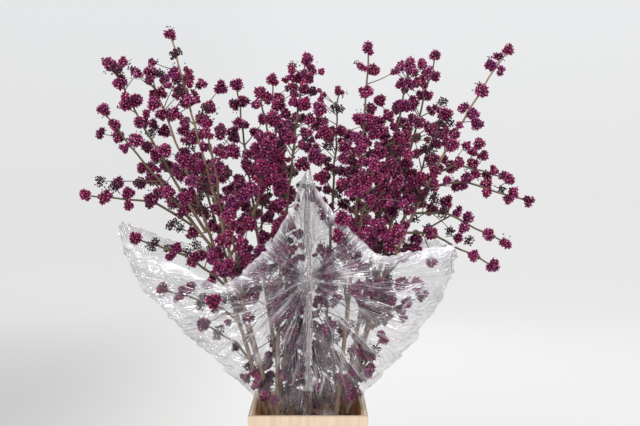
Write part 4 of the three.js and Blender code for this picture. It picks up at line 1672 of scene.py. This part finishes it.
def backdrop(name, floor, wall, glow):
    """Plain paper that gives light, with painted shade: less pale where it lies than where it stands, and
    dimmer near on the left.
    """
    material, tree, shader = material_with(name, Roughness=0.9, Emission_Strength=glow)
    x, y, z = parts_of(tree, on_object(tree))
    rise = ranged(tree, z, 0.0, WALL_RISE, interpolation_type="SMOOTHSTEP")
    left = ranged(tree, x, *DIM_LEFT, interpolation_type="SMOOTHSTEP")
    near = ranged(tree, y, *DIM_NEAR, DIM_LEAST, 1.0, interpolation_type="SMOOTHSTEP")
    glow_with_painted_shade = blend_colours(tree, calc(tree, "MULTIPLY", left, near), (1.0, 1.0, 1.0), (LEFT_DIM,) * 3)
    connect(tree, shader, Base_Color=blend_colours(tree, rise, floor, wall), Emission_Color=glow_with_painted_shade)
    return material


PLIES = 5


def ply_edge(name, pale, dark, across):
    """Cut edges of plywood, striped by its plies. across is 0 where they stack along x, and 1 along y."""
    material, tree, shader = material_with(name, Roughness=0.7)
    size = calc(tree, "ABSOLUTE", parts_of(tree, on_object(tree))[across])
    wave = calc(tree, "PINGPONG", calc(tree, "MULTIPLY", size, PLIES / (BOARD * MM)), 2.0)
    paint = blend_colours(tree, ranged(tree, wave, 0.85, 1.15), pale, dark)
    grain = put_group(tree, relief_group(), Scale=500.0, Relief=0.4, Depth=0.0004)
    connect(tree, shader, Base_Color=paint, Normal=grain.outputs["Normal"])
    return material


# Settings


def colour_setting(name, description, default):
    return FloatVectorProperty(
        name=name, description=description, subtype="COLOR", size=3, min=0, max=1, default=default
    )


def length_setting(name, description, default):
    return FloatProperty(
        name=name, description=description, unit="LENGTH", min=0, precision=4, default=default
    )


def share_setting(name, description, default):
    return FloatProperty(name=name, description=description, subtype="FACTOR", min=0, max=1, default=default)


def power_setting(name, description, default):
    return FloatProperty(name=name, description=description, unit="POWER", default=default)


class BoxSettings(bpy.types.PropertyGroup):
    face: colour_setting("Face", "Colour of the pale outer veneer", (0.60, 0.475, 0.34))
    # The inside is warmer and brighter than the face: painted warm light bounced within the box
    inside: colour_setting("Inside", "Colour of the warmer inner veneer", (0.95, 0.56, 0.32))
    edge: length_setting("Edge", "Width of the sanded edges of the boards", 0.0012)


class StemSettings(bpy.types.PropertyGroup):
    bark: colour_setting("Bark", "Colour of the bark of stems and boughs", (0.29, 0.195, 0.13))
    furrow: colour_setting("Furrow", "Colour in the furrows of the bark", (0.11, 0.075, 0.045))
    twig: colour_setting("Twig", "Colour of the thin side twigs", (0.15, 0.12, 0.075))
    stalk: colour_setting("Stalk", "Colour of the stalks in the berry clusters", (0.05, 0.022, 0.025))


class BerrySettings(bpy.types.PropertyGroup):
    radius: length_setting("Berry radius", "Radius of a full berry", 0.00225)
    seed: IntProperty(name="Seed", description="Which of many like arrangements is made", default=11)
    magenta: colour_setting("Magenta", "Colour of most clusters", (0.30, 0.012, 0.115))
    crimson: colour_setting("Crimson", "Colour of the redder clusters", (0.27, 0.010, 0.075))
    violet: colour_setting("Violet", "Colour of the bluer clusters", (0.21, 0.013, 0.125))
    deep: colour_setting("Deep", "Colour of the darkest full berries", (0.11, 0.006, 0.045))
    dried: colour_setting("Dried", "Colour of small dried berries", (0.045, 0.012, 0.024))
    # Pale is painted highlight: the colour of berries made paler at random, with some real variation in tone
    pale: colour_setting("Pale", "Colour of the palest berries", (0.50, 0.13, 0.28))
    # Inner is painted shade: the colour of the dark balls inside the clusters
    inner: colour_setting("Inner", "Colour of the shaded berries deep in a cluster", (0.03, 0.003, 0.013))


class FilmSettings(bpy.types.PropertyGroup):
    tint: colour_setting("Tint", "Colour of the film", (0.62, 0.58, 0.65))
    depth: length_setting("Crease depth", "How deep the creases of the film are", 0.01)
    clear: share_setting("Clear", "How much smooth film hides", 0.07)
    milk: share_setting("Milk", "How much more a crease hides", 0.7)


class StageSettings(bpy.types.PropertyGroup):
    # The floor is darker than the backdrop wall, painted shade
    floor: colour_setting("Floor", "Colour of the floor", (0.16, 0.155, 0.15))
    wall: colour_setting("Wall", "Colour of the backdrop", (0.205, 0.214, 0.224))
    glow: FloatProperty(name="Glow", description="Light that the backdrop gives", min=0, max=2, default=0.64)
    key: power_setting("Key light", "Power of the main light", 80)
    fill: power_setting("Fill light", "Power of the fill light", 30)
    strip: power_setting("Strip lights", "Power of each thin light", 8)
    world: FloatProperty(name="Sky", description="Strength of the light all round", min=0, default=0.6)


# Pieces


def board_mesh(name, edge):
    """A board with sanded edges and its faces marked by material, and the axis along which it is thin."""
    low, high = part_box(name)
    thin = min(range(3), key=lambda i: high[i] - low[i])
    shape = bmesh.new()
    bmesh.ops.create_cube(shape, size=1)
    for vertex in shape.verts:
        vertex.co = [mix(low[i], high[i], vertex.co[i] + 0.5) for i in range(3)]
    bmesh.ops.bevel(shape, geom=shape.edges[:], offset=edge, segments=3, affect="EDGES")
    for side in shape.faces:
        if abs(side.normal[thin]) < 0.5:
            side.material_index = 2
        elif side.calc_center_median()[thin] * side.normal[thin] < 0:
            side.material_index = 1
    mesh = bpy.data.meshes.new(f"{name}_board")
    shape.to_mesh(mesh)
    shape.free()
    return mesh, thin


class BRANCHES_OT_box(bpy.types.Operator):
    """Makes the box of plywood boards"""

    bl_idname = "branches.box"
    bl_label = "Make box"

    def execute(self, context):
        settings = context.scene.box_settings
        pale, bounce_lit_inside = settings.face, settings.inside
        sizes = {"stretch": (1, 1, 0.06), "scale": 120, "amount": 0.55, "depth": 0.0005, "rough": 0.6}
        face = grained("Pale veneer", pale, darker(pale, 0.72), **sizes)
        sizes = {"stretch": (1, 1, 0.07), "scale": 90, "amount": 0.5, "depth": 0.0006, "rough": 0.7}
        # The inner veneer's warmer colour is painted bounce light inside the box
        inner = grained("Inner veneer", bounce_lit_inside, darker(bounce_lit_inside, 0.7), **sizes)
        edges = [ply_edge(f"Plies across {'xy'[i]}", pale, darker(pale, 0.55), i) for i in (0, 1)]
        for name in BOARD_NODES:
            mesh, thin = board_mesh(name, settings.edge)
            place(f"{name}_board", mesh, [face, inner, edges[0 if thin == 0 else 1]], [name])
        return {"FINISHED"}


class BRANCHES_OT_stems(bpy.types.Operator):
    """Makes the bark of the bare stems and boughs"""

    bl_idname = "branches.stems"
    bl_label = "Make stems"

    def execute(self, context):
        settings = context.scene.stem_settings
        sizes = {"stretch": (1, 1, 0.16), "scale": 420, "amount": 0.8, "depth": 0.0011, "rough": 0.8}
        bark = grained("Bark", settings.bark, settings.furrow, **sizes)
        limbs, _ = plant()
        for seed, limb in enumerate(limbs):
            shares, radii = bark_radii(limb.line, limb.bare, seed)
            path = np.array([limb.line.at(share) for share in shares])
            if limb.parent:
                path, radii = rooted(path, radii, limb.line, limb.parent, BARK_FOOT_SHARE)
            gathered = Gathered()
            gathered.add(*tube(path, radii, BARK_SIDES))
            gathered.build(f"{limb.name}_bark", [bark], [limb.name], "bark")
        return {"FINISHED"}


def half_of(side, grown):
    """The limbs or shoots of one half of the bunch: those whose tips lie left or right of the middle."""
    return [one for one in grown if (one.line.at(1)[0] < 0) == (side == "left")]


class BRANCHES_OT_twigs(bpy.types.Operator):
    """Makes the twigs of every shoot, joined for each half of the bunch"""

    bl_idname = "branches.twigs"
    bl_label = "Make twigs"

    def execute(self, context):
        settings = context.scene.stem_settings
        sizes = {"stretch": (1, 1, 0.3), "scale": 600, "depth": 0.0005, "rough": 0.75}
        leading = grained("Shoot bark", settings.bark, settings.furrow, amount=0.6, **sizes)
        bark = grained("Twig bark", settings.twig, darker(settings.twig, 0.5), amount=0.7, **sizes)
        limbs, shoots = plant()
        for side in ("left", "right"):
            random = np.random.default_rng(TWIG_SEEDS[side])
            gathered = Gathered()
            names = []
            for shoot in half_of(side, shoots):
                dress_twig(shoot, random, gathered)
                names.append(shoot.name)
            for limb in half_of(side, limbs):
                for lateral in limb.laterals:
                    dress_lateral(lateral, random, gathered)
            gathered.build(f"{side}_twigs", [leading, bark], names, "bark")
        return {"FINISHED"}


class BRANCHES_OT_berries(bpy.types.Operator):
    """Makes every berry cluster with its stalks, joined into a few pieces"""

    bl_idname = "branches.berries"
    bl_label = "Make berries"

    def execute(self, context):
        settings = context.scene.berry_settings
        skins = []
        for i, kind in enumerate(BERRY_KINDS):
            skins.append(berry_skin(f"{kind.title()} berries", getattr(settings, kind), i in (DRIED, PAINTED_SHADE_CORE)))
        stalk = context.scene.stem_settings.stalk
        wood = grained("Stalks", stalk, darker(stalk, 0.5), scale=700, amount=0.6, depth=0.0002, rough=0.7)
        random = np.random.default_rng(settings.seed)
        limbs, shoots = plant()
        for side in ("left", "right"):
            berries, stalks, names, part = Gathered(), Gathered(), [], 1
            carriers = half_of(side, [*limbs, *shoots])
            for carrier in carriers:
                names += [carrier.name] if carrier.name.endswith("_shoot") else []
                for one in carrier.clusters:
                    dress_cluster(one, random, berries, stalks, settings.radius / MM)
                if berries.size() > FULL_PIECE or carrier is carriers[-1]:
                    berries.build(f"{side}_berries_{part}", skins, names, "berries")
                    berries, part = Gathered(), part + 1
                    last_names, names = names, []
            stalks.build(f"{side}_stalks", [wood], last_names, "berries")
        return {"FINISHED"}


KNOT_TINT = (0.7, 0.68, 0.7)
SEAM_TINT = (0.36, 0.24, 0.28)


class BRANCHES_OT_film(bpy.types.Operator):
    """Makes the two crumpled sleeves of clear film, the seam between them and their knot"""

    bl_idname = "branches.film"
    bl_label = "Make film"

    def execute(self, context):
        settings = context.scene.film_settings
        film = film_material("Clear film", settings.tint, clear=settings.clear, milk=settings.milk)
        # The gathered film at the knot glows a little, painted light
        gathered = film_material("Gathered film", KNOT_TINT, clear=0.3, milk=0.7, glow=0.12)
        folded = film_material("Folded film", SEAM_TINT, clear=0.6, milk=0.4)
        sheet = sheet_triangles(FILM_IN_BOX + FILM_UP + 1, FILM_ROUND)
        for sleeve in SLEEVES:
            surface = film_surface(sleeve, settings.depth / MM)
            place_film(sleeve.name.replace("_sleeve", ""), surface, sheet, film, [sleeve.name])
        both = [sleeve.name for sleeve in SLEEVES]
        strip = sheet_triangles(SEAM_ROWS, SEAM_COLUMNS, closed=False)
        place_film("film_seam", seam_surface(), strip, folded, both)
        place_film("film_knot", knot_surface(), sheet_triangles(KNOT_RINGS, KNOT_SPOKES), gathered, both)
        return {"FINISHED"}


# Stage, in metres

STAGE_RADIUS = 5.6
STAGE_CURVE = 2.4
STAGE_HEIGHT = 5.0
STAGE_SIDES = 96
STAGE_STEPS = 12
SKY = (0.96, 0.98, 1.0, 1)
AIM = Vector((0, 0, (RIM + 300) * MM))

# Soft lights: name, place, width, height, and the setting that gives their power
LIGHTS = (
    ("Key light", (-1.9, -2.3, 2.7), 1.5, 1.1, "key"),
    ("Fill light", (2.4, -1.7, 1.9), 1.2, 1.2, "fill"),
    ("Back light", (0.6, 2.4, 3.0), 1.6, 1.0, "fill"),
)
STRIP_SIZE = (0.09, 1.3)
STRIPS = (
    (1.3, -2.2, 1.0),
    (-0.7, -2.6, 1.5),
    (-2.4, -1.0, 0.9),
    (2.5, 0.4, 1.2),
    (0.3, 2.6, 1.3),
    (0.4, -2.7, 0.35),
)


def make_floor(settings):
    """A round floor that curves up into a wall."""
    arc = [i / STAGE_STEPS * math.pi / 2 for i in range(STAGE_STEPS + 1)]
    inner = STAGE_RADIUS - STAGE_CURVE
    profile = [(0.001, 0.0), (1.2, 0.0), (inner, 0.0)]
    profile += [(inner + STAGE_CURVE * math.sin(a), STAGE_CURVE * (1 - math.cos(a))) for a in arc[1:]]
    profile.append((STAGE_RADIUS, STAGE_HEIGHT))
    turns = [2 * math.pi * i / STAGE_SIDES for i in range(STAGE_SIDES)]
    points = [(r * math.cos(a), r * math.sin(a), z) for r, z in profile for a in turns]
    mesh = mesh_from("floor", np.array(points), sheet_triangles(len(profile), STAGE_SIDES))
    mesh.materials.append(backdrop("Backdrop", settings.floor, settings.wall, settings.glow))
    floor = bpy.data.objects.new("floor", mesh)
    bpy.context.scene.collection.objects.link(floor)


def make_sky(scene, strength):
    world = bpy.data.worlds.new("Sky")
    world.use_nodes = True
    sky = world.node_tree.nodes["Background"]
    sky.inputs["Color"].default_value = SKY
    sky.inputs["Strength"].default_value = strength
    scene.world = world


def add_light(name, place_at, width, height, power):
    light = bpy.data.lights.new(name, "AREA")
    light.shape, light.size, light.size_y, light.energy = "RECTANGLE", width, height, power
    lamp = bpy.data.objects.new(name, light)
    lamp.location = place_at
    lamp.rotation_euler = (AIM - lamp.location).to_track_quat("-Z", "Y").to_euler()
    bpy.context.scene.collection.objects.link(lamp)


def add_camera(scene):
    data = bpy.data.cameras.new("Camera")
    data.lens, data.sensor_width, data.sensor_fit = CAMERA_LENS, SENSOR_WIDTH, "HORIZONTAL"
    camera = bpy.data.objects.new("Camera", data)
    camera.location = (CAMERA_X * MM, -CAMERA_BACK * MM, (RIM + CAMERA_ABOVE_RIM) * MM)
    camera.rotation_euler = (math.radians(90 - CAMERA_PITCH), 0, 0)
    scene.collection.objects.link(camera)
    scene.camera = camera


class BRANCHES_OT_stage(bpy.types.Operator):
    """Makes the pale floor that curves up all round, the soft lights and the camera"""

    bl_idname = "branches.stage"
    bl_label = "Make stage"

    def execute(self, context):
        settings = context.scene.stage_settings
        make_floor(settings)
        make_sky(context.scene, settings.world)
        for name, place_at, width, height, power in LIGHTS:
            add_light(name, place_at, width, height, getattr(settings, power))
        for i, place_at in enumerate(STRIPS):
            add_light(f"Strip light {i + 1}", place_at, *STRIP_SIZE, settings.strip)
        add_camera(context.scene)
        context.scene.view_settings.view_transform = "Standard"
        return {"FINISHED"}


# Panel and registration


class BRANCHES_PT_panel(bpy.types.Panel):
    """Settings and buttons for the box of branches"""

    bl_idname = "BRANCHES_PT_panel"
    bl_label = "Branches"
    bl_space_type = "VIEW_3D"
    bl_region_type = "UI"
    bl_category = "Branches"

    def draw(self, context):
        for name, group in SETTINGS.items():
            settings = getattr(context.scene, name)
            for prop in group.__annotations__:
                self.layout.prop(settings, prop)
        for operator in OPERATORS:
            self.layout.operator(operator.bl_idname)


SETTINGS = {
    "box_settings": BoxSettings,
    "stem_settings": StemSettings,
    "berry_settings": BerrySettings,
    "film_settings": FilmSettings,
    "stage_settings": StageSettings,
}
OPERATORS = (
    BRANCHES_OT_stage,
    BRANCHES_OT_box,
    BRANCHES_OT_stems,
    BRANCHES_OT_twigs,
    BRANCHES_OT_berries,
    BRANCHES_OT_film,
)


def register():
    for name, group in SETTINGS.items():
        bpy.utils.register_class(group)
        setattr(bpy.types.Scene, name, PointerProperty(type=group))
    for made in (*OPERATORS, BRANCHES_PT_panel):
        bpy.utils.register_class(made)


def unregister():
    for made in (BRANCHES_PT_panel, *OPERATORS):
        bpy.utils.unregister_class(made)
    for name, group in SETTINGS.items():
        delattr(bpy.types.Scene, name)
        bpy.utils.unregister_class(group)


def main():
    register()
    for operator in OPERATORS:
        module, name = operator.bl_idname.split(".")
        getattr(getattr(bpy.ops, module), name)()


if __name__ == "__main__":
    main()
